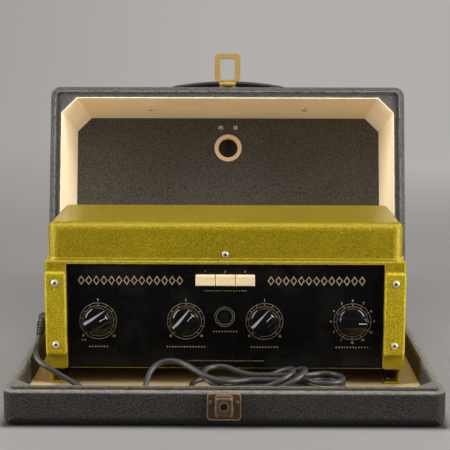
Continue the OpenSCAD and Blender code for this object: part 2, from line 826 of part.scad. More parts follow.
// Inverted steel channel with the five valve holders on top
module amp_chassis() {
    size = chassis_size;
    color(steel) translate([chassis_x, chassis_y, plate_top]) {
        difference() {
            translate([-size[0] / 2, -size[1] / 2, 0]) cube(size);
            translate([-size[0] / 2 - 1, -size[1] / 2 + sheet, -1])
                cube([size[0] + 2, size[1] - 2 * sheet, size[2] - sheet + 1]);
        }
        for (k = [-2:2]) translate([k * valve_pitch, 0, size[2] - eps]) cylinder(r = 11, h = 4);
    }
}

module valves() {
    seat = plate_top + chassis_size[2] + 4 - eps;
    color(black) for (k = [-2:2]) translate([chassis_x + k * valve_pitch, chassis_y, seat]) {
        cylinder(r = valve_r, h = 36);
        translate([0, 0, 36]) sphere(r = valve_r);
        translate([0, 0, 40]) cylinder(r = 2, h = 9);
    }
}

// Stack of core plates with the winding through its middle
module mains_transformer() {
    color(steel) translate([motor_at[0] + 2, core_y, plate_top]) {
        translate([-core[0] / 2, -core[1] / 2, 0]) cube(core);
        translate([0, 0, (core[2] - coil[2]) / 2]) soft_box(coil[0], coil[1], coil[2], 6, 3, 3);
        translate([-core_foot[0] / 2, -core_foot[1] / 2, 0]) cube(core_foot);
    }
}

module smoothing_cans() {
    color(nickel) for (x = can_x) translate([x, chassis_y, plate_top]) {
        cylinder(r = can_r, h = can_h);
        cylinder(r = can_r + 2, h = 6);
    }
}

// Control bodies behind the panel, each with a bush through it
module potentiometers() {
    color(steel) for (k = [0:2]) difference() {
        union() {
            rod_y(knob_x[k], panel_back, knob_z, pot_r, pot_len);
            rod_y(knob_x[k], panel_y - 0.2, knob_z, bush_r, panel_t + 1);
        }
        rod_y(knob_x[k], panel_y - 2, knob_z, spindle_r + 0.05, panel_t + 12);
    }
}

module selector_switch() {
    x = knob_x[3];
    color(steel) difference() {
        union() {
            rod_y(x, panel_back, knob_z, switch_r - 4, switch_len);
            for (k = [0:2]) rod_y(x, panel_back + 6 + 9 * k, knob_z, switch_r, 2);
            rod_y(x, panel_y - 0.2, knob_z, bush_r, panel_t + 1);
        }
        rod_y(x, panel_y - 2, knob_z, spindle_r + 0.05, panel_t + 12);
    }
}

// Round knob with a bar across it and a spindle behind, turned to where it points
module knob(k) {
    skirt = 4;
    color(black) translate([knob_x[k], panel_y - knob_gap, knob_z]) rotate([0, knob_turn[k], 0]) {
        rotate([90, 0, 0]) cylinder(r = knob_r, h = skirt);
        intersection() {
            rotate([90, 0, 0]) cylinder(r = knob_r, h = knob_len);
            translate([0, eps, 0]) rotate([90, 0, 0]) soft_box(13, 2 * knob_r + 6, knob_len, 2, 0, 2);
        }
        rotate([-90, 0, 0]) cylinder(r = spindle_r, h = knob_gap + panel_t + 8);
    }
}
module knob_1() {
    knob(0);
}
module knob_2() {
    knob(1);
}
module knob_3() {
    knob(2);
}
module knob_4() {
    knob(3);
}

// Bracket behind the panel with a slot for each key's stem
module key_frame() {
    w = 3 * key_pitch + 8 + 2 * key_frame_wall;
    h = key_h + 8;
    color(steel) difference() {
        translate([-w / 2, panel_back, key_z - h / 2]) cube([w, key_frame_y + 2 - panel_back, h]);
        translate([-w / 2 + key_frame_wall, panel_back - 1, key_z - h / 2 - 1])
            cube([w - 2 * key_frame_wall, key_frame_y - panel_back + 1, h + 2]);
        for (k = [-1:1]) translate([k * key_pitch - key_stem[0] / 2 - 0.08, key_frame_y - 1,
            key_z - key_stem[1] / 2 - 0.08]) cube([key_stem[0] + 0.16, 4, key_stem[1] + 0.16]);
    }
}

// Push key with rounded front edges and a guided stem
module key(k) {
    body = key_out + panel_t + 4;
    color(ivory) translate([k * key_pitch, panel_y - key_out, key_z]) {
        translate([0, body, 0]) rotate([90, 0, 0]) soft_box(key_w, key_h, body, 1, 0, 1.2);
        translate([-key_stem[0] / 2, body - eps, -key_stem[1] / 2])
            cube([key_stem[0], key_frame_y + 4 - panel_y + key_out - body, key_stem[1]]);
    }
}
module key_1() {
    key(-1);
}
module key_2() {
    key(0);
}
module key_3() {
    key(1);
}

// Ring round the level indicator and the glass tube that stands against it
module indicator_bezel() {
    color(black) difference() {
        union() {
            rod_y(eye_x, panel_y - 2.2, eye_z, bezel_r, 2.2);
            rod_y(eye_x, panel_y - 1, eye_z, eye_r + 0.6, panel_t + 2);
        }
        rod_y(eye_x, panel_y - 3, eye_z, 7.4, 4);
        rod_y(eye_x, panel_y, eye_z, eye_r + 0.04, panel_t + 4);
    }
}

module indicator_tube() {
    color(black) {
        rod_y(eye_x, panel_y, eye_z, eye_r, 44);
        rod_y(eye_x, panel_y + 44 - eps, eye_z, 10, 12);
    }
}

// Jack sockets in the body's right side
module jack_sockets() {
    side = unit_w / 2;
    color(nickel) for (z = jack_z) difference() {
        union() {
            rod_x(side, jack_y, z, 6.6, 3.4);
            rod_x(side - sheet - 1, jack_y, z, 5, sheet + 2);
            rod_x(side + 3.4 - jack_len - 2, jack_y, z, 8, jack_len + 2 - 3.4 - sheet);
        }
        rod_x(side + 3.4 - jack_len, jack_y, z, jack_bore_r, jack_len + 2);
    }
}

// Right-angled cord gland with a tapered boot
module cord_gland() {
    way = gland_end - gland_at;
    color(black) {
        rod_x(gland_at[0], gland_at[1], gland_at[2], 7.4, -unit_w / 2 - gland_at[0]);
        rod_x(gland_at[0], gland_at[1], gland_at[2], 5, -unit_w / 2 - gland_at[0] + sheet + 3);
        translate(gland_at) sphere(r = 6.2);
        translate(gland_at) rotate([0, acos(way[2] / norm(way)), atan2(way[1], way[0])])
            cylinder(r1 = 6.2, r2 = 4.2, h = norm(way));
    }
}

// Tube swept along points: ring directions carried from each point to the next
function along(v) = v / norm(v);
function tangents(p) = [for (i = [0:len(p) - 1])
    along(p[min(i + 1, len(p) - 1)] - p[max(i - 1, 0)])];
function side_of(t) = along(cross(t, abs(t[0]) < 0.9 ? [1, 0, 0] : [0, 0, 1]));
function carried(n, t) = along(n - (n * t) * t);
function sides_of(t) = [for (i = 0, n = side_of(t[0]); i < len(t);
    i = i + 1, n = i < len(t) ? carried(n, t[i]) : n) n];
module tube(path, r, sides) {
    t = tangents(path);
    n = sides_of(t);
    last = len(path) - 1;
    rings = [for (i = [0:last]) let (b = cross(t[i], n[i])) for (k = [0:sides - 1])
        path[i] + r * (cos(360 * k / sides) * n[i] + sin(360 * k / sides) * b)];
    wall = [for (i = [0:last - 1]) for (k = [0:sides - 1])
        let (a = i * sides + k, b = i * sides + (k + 1) % sides)
        each [[a, a + sides, b], [b, a + sides, b + sides]]];
    ends = [for (k = [1:sides - 2])
        each [[0, k, k + 1], [last * sides, last * sides + k + 1, last * sides + k]]];
    polyhedron(points = rings, faces = concat(wall, ends), convexity = 10);
}

// Hank: necked loops on each other, every lobe two side arcs out of the neck and a bulb between them
function rise(t) = (1 - cos(180 * min(max(t, 0), 1))) / 2;
function eased(p) = [for (i = [0:len(p) - 1]) i == 0 || i == len(p) - 1 ? p[i]
    : (p[i - 1] + 2 * p[i] + p[i + 1]) / 4];
function lobe(from, to) = let (
    n = abs(to - from),
    arc_r = (n * n + neck_half * neck_half - hank_r * hank_r) / (2 * (hank_r - neck_half)),
    turn = asin(n / (arc_r + hank_r)),
    cuts = max(2, round(arc_r * turn * PI / 180 / ring_step)),
    side = [for (i = [0:cuts]) let (a = turn * i / cuts)
        [arc_r * sin(a), neck_half + arc_r * (1 - cos(a))]],
    bulb = [for (i = [1:bulb_cuts - 1]) let (a = (90 + turn) * (2 * i / bulb_cuts - 1))
        [n + hank_r * cos(a), hank_r * sin(a)]],
    outline = concat([for (q = side) [q[0], -q[1]]], bulb, [for (i = [cuts:-1:0]) side[i]]))
    [for (q = eased(outline)) [from, hank_y] + sign(to - from) * q];
function shares(p) = travelled(p) / path_length(p);
function neck(from, to, y, z) = [for (i = [1:neck_cuts - 1]) [from + (to - from) * i / neck_cuts, y, z]];
function near_neck(z) = neck(neck_x[0], neck_x[1], hank_y - neck_half, z);
function far_neck(z) = neck(neck_x[1], neck_x[0], hank_y + neck_half, z);
function right_lobe(z, dip) = let (p = lobe(neck_x[1], right_x), f = shares(p)) [for (i = [0:len(p) - 1])
    [p[i][0], p[i][1], z - dip * rise(5 * min(f[i], 1 - f[i]))]];
function over(f) = f < 0.38 ? upper_z + (crest_z - upper_z) * rise(f / 0.3)
    : crest_z + (lower_z - crest_z) * rise((f - 0.38) / 0.44);
upper_left = let (p = lobe(neck_x[0], left_x[1]), f = shares(p)) [for (i = [0:len(p) - 1])
    [p[i][0], p[i][1], over(f[i])]];
lower_left = let (p = lobe(neck_x[0], left_x[0]), f = shares(p)) [for (i = [0:len(p) - 1])
    if (p[i][0] < left_x[0] - 4 || p[i][1] > hank_y)
        [p[i][0], p[i][1], lower_z + (lay_z - lower_z) * rise((f[i] - 0.3) / 0.4)]];

// From the lower loop along the floor, round to the front, under the neck, two slanting wraps and to the plug
floor_run = [for (i = [0:floor_cuts]) let (f = i / floor_cuts, b = (1 - cos(360 * f)) / 2)
    [left_x[0] + (right_x - left_x[0]) * f, hank_y - hank_r - floor_bulge * b, lay_z + floor_hump * b]];
back_turn = [for (i = [1:4]) let (a = 90 - 45 * i)
    [right_x + back_r * cos(a), hank_y - hank_r - back_r + back_r * sin(a), lay_z]];
front_y0 = hank_y - hank_r - 2 * back_r;
under_x = wrap_x - wrap_slant[0];
under_turn = [for (i = [0:4]) let (a = -90 - 22.5 * i)
    [under_x + turn_r + turn_r * cos(a), front_y0 + turn_r + turn_r * sin(a), lay_z]];
under_run = [[under_x, hank_y - 26, lay_z], [under_x, hank_y - 13, lay_z]];
wraps = [for (a = [-90:wrap_step:wrap_end]) let (
    slant = wrap_slant[0] + (wrap_slant[1] - wrap_slant[0]) * (a + 90) / (wrap_end + 90))
    [wrap_x + wrap_drift * (a + 90) / 360 + slant * sin(a), hank_y + wrap_r[0] * cos(a),
        lay_z + wrap_r[1] * (1 + sin(a))]];
hank_path = concat(near_neck(upper_z), right_lobe(upper_z, right_dip[0]), far_neck(upper_z), upper_left,
    near_neck(lower_z), right_lobe(lower_z, right_dip[1]), far_neck(lower_z), lower_left,
    floor_run, back_turn, under_turn, under_run, wraps, tail_route);

// Least gap between stretches of the cord more than four diameters apart along it
function travelled(p) = [for (i = 0, s = 0; i < len(p);
    i = i + 1, s = i < len(p) ? s + norm(p[i] - p[i - 1]) : s) s];
function fine(p) = [for (i = [0:len(p) - 2]) each [p[i], (p[i] + p[i + 1]) / 2]];
function path_length(p) = travelled(p)[len(p) - 1];
function least_gap(p) = let (q = fine(p), s = travelled(q))
    min([for (i = [0:len(q) - 1]) each [for (j = [i + 1:1:len(q) - 1])
        if (s[j] - s[i] > 4 * cord_d) norm(q[i] - q[j])]]) - cord_d;

module cord_run() {
    color(rubber) tube(cord_route, cord_r, 8);
}
module cord_hank() {
    color(rubber) tube(hank_path, cord_r, 6);
    echo(cord_gap = least_gap(concat(cord_route, hank_path)), hank_length = path_length(hank_path),
        run_length = path_length(cord_route));
}

// Round two-pin plug lying on the tray's floor
module mains_plug() {
    color(black) translate(plug_at) rotate([0, -90, 0]) {
        cylinder(r1 = 5, r2 = 6.5, h = 10);
        translate([0, 0, 10 - eps]) cylinder(r1 = 8, r2 = plug_r, h = 8);
        translate([0, 0, 18 - 2 * eps]) cylinder(r = plug_r, h = plug_len - 18);
        for (s = [-1, 1]) translate([0, s * 6.2, plug_len - 1]) cylinder(r = pin_r, h = pin_len + 1);
    }
}

tray_carcass();
tray_lining();
lock_case();
lock_screws();
lock_barrel();
lock_bolt();
hinge_base_leaves();
hinge_lid_leaves();
lid_carcass();
lid_lining();
lid_panel();
port_ring();
port_cover();
port_screws();
handle_strap();
handle_clamps();
handle_bolts();
hasp_plate();
hasp_loop();
foot_rails();
foot_bolts();
body_shell();
bottom_plate();
front_panel();
cheek_left();
cheek_right();
unit_screws();
top_cover();
drum_deck();
drum_bearing();
drum();
idler_post();
idler_wheel();
motor_can();
motor_spindle();
head_bracket();
record_heads();
playback_heads();
amp_chassis();
valves();
mains_transformer();
smoothing_cans();
potentiometers();
selector_switch();
knob_1();
knob_2();
knob_3();
knob_4();
key_frame();
key_1();
key_2();
key_3();
indicator_bezel();
indicator_tube();
jack_sockets();
cord_gland();
cord_run();
cord_hank();
mains_plug();
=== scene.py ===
import math
import bpy
import bmesh
from mathutils import Matrix, Vector


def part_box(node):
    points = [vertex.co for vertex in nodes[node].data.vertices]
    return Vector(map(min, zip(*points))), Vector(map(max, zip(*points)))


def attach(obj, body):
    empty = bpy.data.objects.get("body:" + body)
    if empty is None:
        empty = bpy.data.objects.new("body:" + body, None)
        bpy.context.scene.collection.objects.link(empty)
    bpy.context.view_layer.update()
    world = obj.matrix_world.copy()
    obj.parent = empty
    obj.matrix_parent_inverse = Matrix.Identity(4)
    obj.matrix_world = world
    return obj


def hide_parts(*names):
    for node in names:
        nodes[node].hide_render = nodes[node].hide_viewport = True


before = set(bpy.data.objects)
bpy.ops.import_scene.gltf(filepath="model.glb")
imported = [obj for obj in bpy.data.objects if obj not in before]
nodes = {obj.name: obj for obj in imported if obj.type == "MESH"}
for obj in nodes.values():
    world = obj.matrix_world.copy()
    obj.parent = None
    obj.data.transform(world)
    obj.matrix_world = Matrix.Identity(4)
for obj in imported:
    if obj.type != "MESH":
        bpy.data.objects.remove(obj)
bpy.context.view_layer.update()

scene = bpy.context.scene
print("frame loaded:", len(nodes), "nodes")


def shifted(offset):
    return Matrix.Translation(offset)


def turned(degrees, axis):
    return Matrix.Rotation(math.radians(degrees), 4, axis)


def aimed(direction, axis="Z"):
    return direction.to_track_quat(axis, "Y").to_matrix().to_4x4()


def addObject(name, data):
    made = bpy.data.objects.new(name, data)
    scene.collection.objects.link(made)
    return made


# camera as the picture was taken, long lens, a little above the case
cameraView = {"place": (0.0117, -1.3214, 0.4060), "lens": 94.88, "sensor": 36, "clip": (0.05, 30),
              "pitchDown": 9.437, "roll": 0.096, "turnLeft": 0.539}


def setCamera(view):
    data = bpy.data.cameras.new("camera")
    data.sensor_width = view["sensor"]
    data.lens = view["lens"]
    data.clip_start, data.clip_end = view["clip"]
    scene.camera = addObject("camera", data)
    scene.camera.matrix_world = (shifted(view["place"]) @ turned(view["turnLeft"], "Z")
                                 @ turned(90 - view["pitchDown"], "X") @ turned(view["roll"], "Z"))


setCamera(cameraView)
scene.view_settings.view_transform = "Standard"
print("camera set")

# the lid is modelled closed and carried back to where it stands open
lidSet = {"hinge": (0, 0.1524, 0.037), "openDeg": 103.857}
fromHinge = shifted([-value for value in lidSet["hinge"]])
lidPlace = shifted(lidSet["hinge"]) @ turned(-lidSet["openDeg"], "X") @ fromHinge


# node helpers: each takes sockets or plain values, works in the sockets' tree and gives back outputs
def feed(socket, value):
    if isinstance(value, bpy.types.NodeSocket):
        socket.id_data.links.new(value, socket)
    else:
        socket.default_value = value


def addNode(kind, inputs, **settings):
    tree = next(value.id_data for value in inputs.values() if isinstance(value, bpy.types.NodeSocket))
    node = tree.nodes.new(kind)
    for name, value in settings.items():
        setattr(node, name, value)
    for name, value in inputs.items():
        feed(node.inputs[name], value)
    return node.outputs


def mixColour(factor, first, second):
    first, second = ((*value, 1) if isinstance(value, tuple) else value for value in (first, second))
    return addNode("ShaderNodeMix", {0: factor, 6: first, 7: second}, data_type="RGBA")[2]


def calc(operation, first, second=0.0, clamp=False):
    return addNode("ShaderNodeMath", {0: first, 1: second}, operation=operation, use_clamp=clamp)[0]


def times(first, second, clamp=False):
    return calc("MULTIPLY", first, second, clamp)


def remap(value, low, high, toLow=0.0, toHigh=1.0, **settings):
    inputs = {"Value": value, "From Min": low, "From Max": high, "To Min": toLow, "To Max": toHigh}
    return addNode("ShaderNodeMapRange", inputs, **settings)["Result"]


def vectors(operation, first, second):
    return addNode("ShaderNodeVectorMath", {0: first, 1: second}, operation=operation)


def axes(place):
    return addNode("ShaderNodeSeparateXYZ", {"Vector": place})


def noise(place, scale, detail, **more):
    return addNode("ShaderNodeTexNoise", {"Vector": place, "Scale": scale, "Detail": detail, **more})


def voronoi(place, scale, feature="F1", **more):
    return addNode("ShaderNodeTexVoronoi", {"Vector": place, "Scale": scale, **more}, feature=feature)


def chance(colour, channel):
    return addNode("ShaderNodeSeparateColor", {"Color": colour})[channel]


def newGroup(name, outputs, **inputs):
    tree = bpy.data.node_groups.new(name, "ShaderNodeTree")
    tree.interface.new_socket(name="Vector", in_out="INPUT", socket_type="NodeSocketVector")
    for socketName, value in inputs.items():
        socket = tree.interface.new_socket(name=socketName, in_out="INPUT", socket_type="NodeSocketFloat")
        socket.default_value = value
    for socketName in outputs:
        tree.interface.new_socket(name=socketName, in_out="OUTPUT", socket_type="NodeSocketFloat")
    return tree, tree.nodes.new("NodeGroupInput").outputs, tree.nodes.new("NodeGroupOutput").inputs


def useGroup(group, place, **inputs):
    return addNode("ShaderNodeGroup", {"Vector": place, **inputs}, node_tree=group)


# rounded pebbles of a grained surface: height, and a random value per pebble
def makePebbleGroup():
    tree, given, result = newGroup("pebbleGrain", ["Height", "Speck"], Scale=800.0)
    warp = noise(given["Vector"], times(given["Scale"], 0.4), 2.0)["Color"]
    shift = vectors("MULTIPLY", warp, (0.0011, 0.0011, 0.0011))[0]
    moved = vectors("ADD", given["Vector"], shift)[0]
    pebble = voronoi(moved, given["Scale"], "SMOOTH_F1", Smoothness=0.35)
    cell = voronoi(moved, given["Scale"])
    feed(result["Height"], remap(pebble["Distance"], 0.1, 0.75, 1.0, 0.0))
    feed(result["Speck"], chance(cell["Color"], 0))
    return tree


# worn edges: where a rounded normal leaves the true one, broken up by noise
def makeWearGroup():
    tree, given, result = newGroup("edgeWear", ["Mask"], Radius=0.002, Scale=60.0, Amount=0.5)
    rounded = addNode("ShaderNodeBevel", {"Radius": given["Radius"]}, samples=6)["Normal"]
    plain = tree.nodes.new("ShaderNodeNewGeometry").outputs["Normal"]
    edge = remap(vectors("DOT_PRODUCT", rounded, plain)["Value"], 0.995, 0.84)
    patch = noise(given["Vector"], given["Scale"], 5.0, Roughness=0.65)["Fac"]
    low = calc("SUBTRACT", 0.75, times(given["Amount"], 0.5))
    worn = remap(calc("SUBTRACT", patch, low), -0.06, 0.1)
    feed(result["Mask"], times(edge, worn))
    return tree


# soft clouds of dust and single flecks
def makeDustGroup():
    tree, given, result = newGroup("dust", ["Cloud", "Fleck"], Scale=20.0)
    cloud = noise(given["Vector"], given["Scale"], 8.0, Roughness=0.62, Distortion=0.6)["Fac"]
    spots = voronoi(given["Vector"], times(given["Scale"], 13.0))
    kept = calc("GREATER_THAN", chance(spots["Color"], 1), 0.7)
    feed(result["Cloud"], remap(cloud, 0.48, 0.78))
    feed(result["Fleck"], times(remap(spots["Distance"], 0.13, 0.05), kept))
    return tree


# slow colour drift over a surface
def makeBlotchGroup():
    tree, given, result = newGroup("blotch", ["Value"], Scale=12.0, Low=0.35, High=0.65)
    patch = noise(given["Vector"], given["Scale"], 6.0, Roughness=0.6)["Fac"]
    feed(result["Value"], remap(patch, given["Low"], given["High"]))
    return tree


pebbleGroup = makePebbleGroup()
wearGroup = makeWearGroup()
dustGroup = makeDustGroup()
blotchGroup = makeBlotchGroup()
print("shared groups built")


def newMaterial(maker, name, look):
    material = bpy.data.materials.new(name)
    material.use_nodes = True
    tree = material.node_tree
    maker(tree.nodes["Principled BSDF"].inputs, tree.nodes.new("ShaderNodeTexCoord").outputs["Object"], look)
    return material


def finishLook(shader, colour, rough, height, distance):
    feed(shader["Base Color"], colour)
    feed(shader["Roughness"], rough)
    bump = addNode("ShaderNodeBump", {"Height": height, "Distance": distance, "Strength": 1.0})
    feed(shader["Normal"], bump["Normal"])


# grained covering of the case and of the lid's back board
vinylLooks = {
    "trayVinyl": {
        "valley": (0.010, 0.0085, 0.007), "top": (0.062, 0.050, 0.040), "worn": (0.25, 0.225, 0.185),
        "pebblesPerMetre": 820, "depth": 0.0007, "wearRadius": 0.0025, "wear": 0.5, "gloss": 0.25,
        "lip": (0.0360, 0.0376), "tongue": 0.58, "footShadeHigh": 0.012},
    "lidVinyl": {
        "valley": (0.012, 0.0105, 0.009), "top": (0.078, 0.066, 0.055), "worn": (0.36, 0.34, 0.31),
        "pebblesPerMetre": 820, "depth": 0.0007, "wearRadius": 0.003, "wear": 0.6, "gloss": 0.35,
        "rim": (0.052, 0.044), "rimValley": (0.032, 0.030, 0.0275), "rimTop": (0.212, 0.202, 0.186)},
    "lidBoardDark": {
        "valley": (0.022, 0.0195, 0.016), "top": (0.170, 0.161, 0.144), "worn": (0.15, 0.13, 0.10),
        "pebblesPerMetre": 700, "depth": 0.0005, "wearRadius": 0.001, "wear": 0.1, "gloss": 0.45}}


# rubbed rim of the lid, measured as the lid lies closed
def rubRim(place, look, level, colour):
    away = vectors("SUBTRACT", place, lidSet["hinge"])[0]
    turn = {"Vector": away, "Angle": math.radians(lidSet["openDeg"])}
    closed = addNode("ShaderNodeVectorRotate", turn, rotation_type="X_AXIS")[0]
    high, low = (value - lidSet["hinge"][2] for value in look["rim"])
    rubbed = mixColour(level, look["rimValley"], look["rimTop"])
    return mixColour(remap(axes(closed)["Z"], high, low), colour, rubbed)


# rubbed lip and tongue round the tray, painted shade darkening the foot
def rubLip(place, look, speck, colour):
    low, high = look["lip"]
    height = axes(place)["Z"]
    lip = times(remap(height, low - 0.001, low + 0.001), remap(height, high + 0.0002, high - 0.0002))
    rubbed = noise(place, 150.0, 4.0)["Fac"]
    lip = times(lip, remap(rubbed, 0.35, 0.62, 0.55, 0.95))
    tongue = times(remap(height, high + 0.001, high + 0.002), look["tongue"])
    tongue = times(tongue, remap(speck, 0, 1, 0.4, 1.0))
    colour = mixColour(calc("MAXIMUM", lip, tongue), colour, look["worn"])
    # painted shade: the vinyl goes darker towards the tray's bottom edge
    foot = remap(height, look["footShadeHigh"], 0.002)
    return mixColour(times(foot, 0.85), colour, look["valley"])


def grainedVinyl(shader, place, look):
    feed(shader["Specular IOR Level"], look["gloss"])
    feed(shader["Sheen Weight"], 0.05)
    grain = useGroup(pebbleGroup, place, Scale=look["pebblesPerMetre"])
    drift = useGroup(blotchGroup, place, Scale=9.0, Low=0.3, High=0.7)
    wear = useGroup(wearGroup, place, Radius=look["wearRadius"], Scale=140.0, Amount=look["wear"])
    level = times(grain["Height"], remap(grain["Speck"], 0, 1, 0.45, 1.0))
    colour = mixColour(level, look["valley"], look["top"])
    if "rim" in look:
        colour = rubRim(place, look, level, colour)
    colour = mixColour(remap(drift["Value"], 0, 1, 0.0, 0.3), colour, look["valley"])
    colour = mixColour(times(wear["Mask"], 0.8), colour, look["worn"])
    if "lip" in look:
        colour = rubLip(place, look, grain["Speck"], colour)
    rough = remap(grain["Speck"], 0, 1, 0.48, 0.7)
    finishLook(shader, colour, rough, grain["Height"], look["depth"])


# hammered lacquer of the unit: shallow cells in a metallic gold, edges lightened as a painted highlight
goldLooks = {
    "hammeredGold": {
        "dark": (0.21, 0.145, 0.001), "light": (0.58, 0.435, 0.004), "edgeTint": (0.85, 0.66, 0.10),
        "cellsPerMetre": 780, "depth": 0.00018, "contrast": 0.3},
    "cheekGold": {
        "dark": (0.32, 0.23, 0.003), "light": (0.95, 0.73, 0.016), "edgeTint": (1.0, 0.84, 0.22),
        "cellsPerMetre": 800, "depth": 0.00022, "contrast": 0.15}}


def hammeredGold(shader, place, look):
    feed(shader["Coat Weight"], 0.18)
    feed(shader["Coat Roughness"], 0.16)
    cells = useGroup(pebbleGroup, place, Scale=look["cellsPerMetre"])
    drift = useGroup(blotchGroup, place, Scale=14.0, Low=0.3, High=0.7)
    wear = useGroup(wearGroup, place, Radius=0.0014, Scale=90.0, Amount=0.75)
    dust = useGroup(dustGroup, place, Scale=16.0)
    level = times(remap(cells["Height"], 0, 1, look["contrast"], 1.0),
                  remap(cells["Speck"], 0, 1, 0.45, 1.0))
    colour = mixColour(level, look["dark"], look["light"])
    colour = mixColour(remap(drift["Value"], 0, 1, 0.0, 0.25), colour, look["dark"])
    # painted highlight: the worn-edge mask lightens the edges towards the bright edge tint
    colour = mixColour(times(wear["Mask"], 0.7), colour, look["edgeTint"])
    feed(shader["Metallic"], remap(dust["Cloud"], 0, 1, 0.42, 0.3))
    rough = remap(cells["Speck"], 0, 1, 0.30, 0.46)
    finishLook(shader, colour, rough, cells["Height"], look["depth"])


# painted board: lid lining, tray floor, ring of the port
boardLooks = {
    "liningCream": {"base": (0.96, 0.80, 0.55), "stain": (0.74, 0.55, 0.29), "rough": 0.55},
    "floorTan": {
        "base": (0.44, 0.31, 0.15), "stain": (0.20, 0.13, 0.055), "rough": 0.6, "gloss": 0.1,
        # painted shade under the unit and painted light beside it, placed by position
        "shadeUnderUnit": (0.33, 0.235, 0.115), "shadeUnderY": (-0.07, -0.02),
        "lightBesideUnit": (0.95, 0.68, 0.30), "lightBesideX": (0.188, 0.200)},
    "ringCream": {"base": (0.90, 0.66, 0.42), "stain": (0.62, 0.40, 0.21), "rough": 0.4}}


def paintedBoard(shader, place, look):
    feed(shader["Specular IOR Level"], look.get("gloss", 0.4))
    stain = useGroup(blotchGroup, place, Scale=11.0, Low=0.45, High=0.8)
    specks = useGroup(dustGroup, place, Scale=24.0)
    wear = useGroup(wearGroup, place, Radius=0.0015, Scale=120.0, Amount=0.4)
    fibre = noise(place, 420.0, 4.0)["Fac"]
    colour = look["base"]
    for mask, share in ((stain["Value"], 0.45), (specks["Fleck"], 0.5), (wear["Mask"], 0.6)):
        colour = mixColour(times(mask, share), colour, look["stain"])
    if "shadeUnderUnit" in look:  # painted shade under the unit, painted light beside it
        spot = axes(place)
        under = remap(spot["Y"], *look["shadeUnderY"])
        beside = remap(calc("ABSOLUTE", spot["X"]), *look["lightBesideX"])
        for mask, tint in ((under, look["shadeUnderUnit"]), (beside, look["lightBesideUnit"])):
            colour = mixColour(times(mask, 0.9), colour, tint)
    rough = remap(fibre, 0.3, 0.7, look["rough"] - 0.08, look["rough"] + 0.1)
    finishLook(shader, colour, rough, fibre, 0.00012)


# metals, tarnished but for their rubbed edges
metalLooks = {
    "brassPale": {"base": (0.66, 0.45, 0.13), "tarnish": (0.30, 0.19, 0.05), "rough": 0.34, "amount": 0.5,
                  "metal": 0.75},
    "brassDark": {"base": (0.62, 0.33, 0.16), "tarnish": (0.050, 0.025, 0.013), "rough": 0.40, "amount": 0.95,
                  "cover": 0.85, "edge": 0.0016},
    "lockBrass": {"base": (0.98, 0.62, 0.38), "tarnish": (0.032, 0.017, 0.007), "rough": 0.36, "amount": 0.98,
                  "cover": 0.95, "edge": 0.0024, "metal": 0.62},
    "barrelDark": {"base": (0.50, 0.40, 0.30), "tarnish": (0.012, 0.010, 0.008), "rough": 0.34, "amount": 1.0,
                   "cover": 0.95, "edge": 0.0007},
    "nickel": {"base": (0.72, 0.70, 0.65), "tarnish": (0.30, 0.26, 0.20), "rough": 0.22, "amount": 0.4},
    "screwBright": {"base": (0.92, 0.90, 0.86), "tarnish": (0.45, 0.42, 0.36), "rough": 0.36, "amount": 0.15,
                    "metal": 0.7},
    "steel": {"base": (0.50, 0.50, 0.50), "tarnish": (0.25, 0.23, 0.20), "rough": 0.38, "amount": 0.3},
    "aluminium": {"base": (0.72, 0.72, 0.71), "tarnish": (0.42, 0.40, 0.38), "rough": 0.34, "amount": 0.3}}


def agedMetal(shader, place, look):
    feed(shader["Metallic"], look.get("metal", 1.0))
    patch = useGroup(blotchGroup, place, Scale=95.0, Low=0.38, High=0.7)
    fine = useGroup(dustGroup, place, Scale=120.0)
    wear = useGroup(wearGroup, place, Radius=look.get("edge", 0.0008), Scale=160.0, Amount=0.9)
    dull = calc("ADD", patch["Value"], times(fine["Fleck"], 0.5))
    dull = calc("MAXIMUM", dull, look.get("cover", 0.0))
    dull = times(dull, look["amount"], clamp=True)
    dull = times(dull, remap(wear["Mask"], 0, 1, 1.0, 0.15))
    colour = mixColour(dull, look["base"], look["tarnish"])
    rough = calc("ADD", times(dull, 0.3), look["rough"])
    finishLook(shader, colour, rough, noise(place, 900.0, 3.0)["Fac"], 0.00004)


# polished black panel with dust and fine rubs
panelLooks = {
    "polishedPanel": {"black": (0.0022, 0.0021, 0.0020), "dust": (0.055, 0.050, 0.044), "rough": 0.27}}


def polishedPanel(shader, place, look):
    feed(shader["Specular IOR Level"], 0.3)
    dust = useGroup(dustGroup, place, Scale=17.0)
    fine = useGroup(dustGroup, place, Scale=62.0)
    film = times(dust["Cloud"], 0.16)
    film = calc("ADD", film, times(fine["Fleck"], 0.5), clamp=True)
    colour = mixColour(film, look["black"], look["dust"])
    rough = calc("ADD", times(film, 0.7), look["rough"], clamp=True)
    finishLook(shader, colour, rough, noise(place, 60.0, 3.0)["Fac"], 0.00003)


# moulded plastics and rubbers
mouldedLooks = {
    "bakelite": {"base": (0.004, 0.004, 0.004), "film": (0.06, 0.055, 0.048), "rough": 0.08, "amount": 0.04,
                 "gloss": 0.34},
    "ivoryKeys": {"base": (0.82, 0.63, 0.38), "film": (0.45, 0.31, 0.15), "rough": 0.28, "amount": 0.25},
    "cordRubber": {"base": (0.030, 0.0275, 0.0255), "film": (0.13, 0.12, 0.11), "rough": 0.42,
                   "amount": 0.35},
    "blackRubber": {"base": (0.014, 0.014, 0.014), "film": (0.09, 0.085, 0.08), "rough": 0.5, "amount": 0.25},
    "eyeGlass": {"base": (0.004, 0.007, 0.005), "film": (0.03, 0.035, 0.03), "rough": 0.05, "amount": 0.1}}


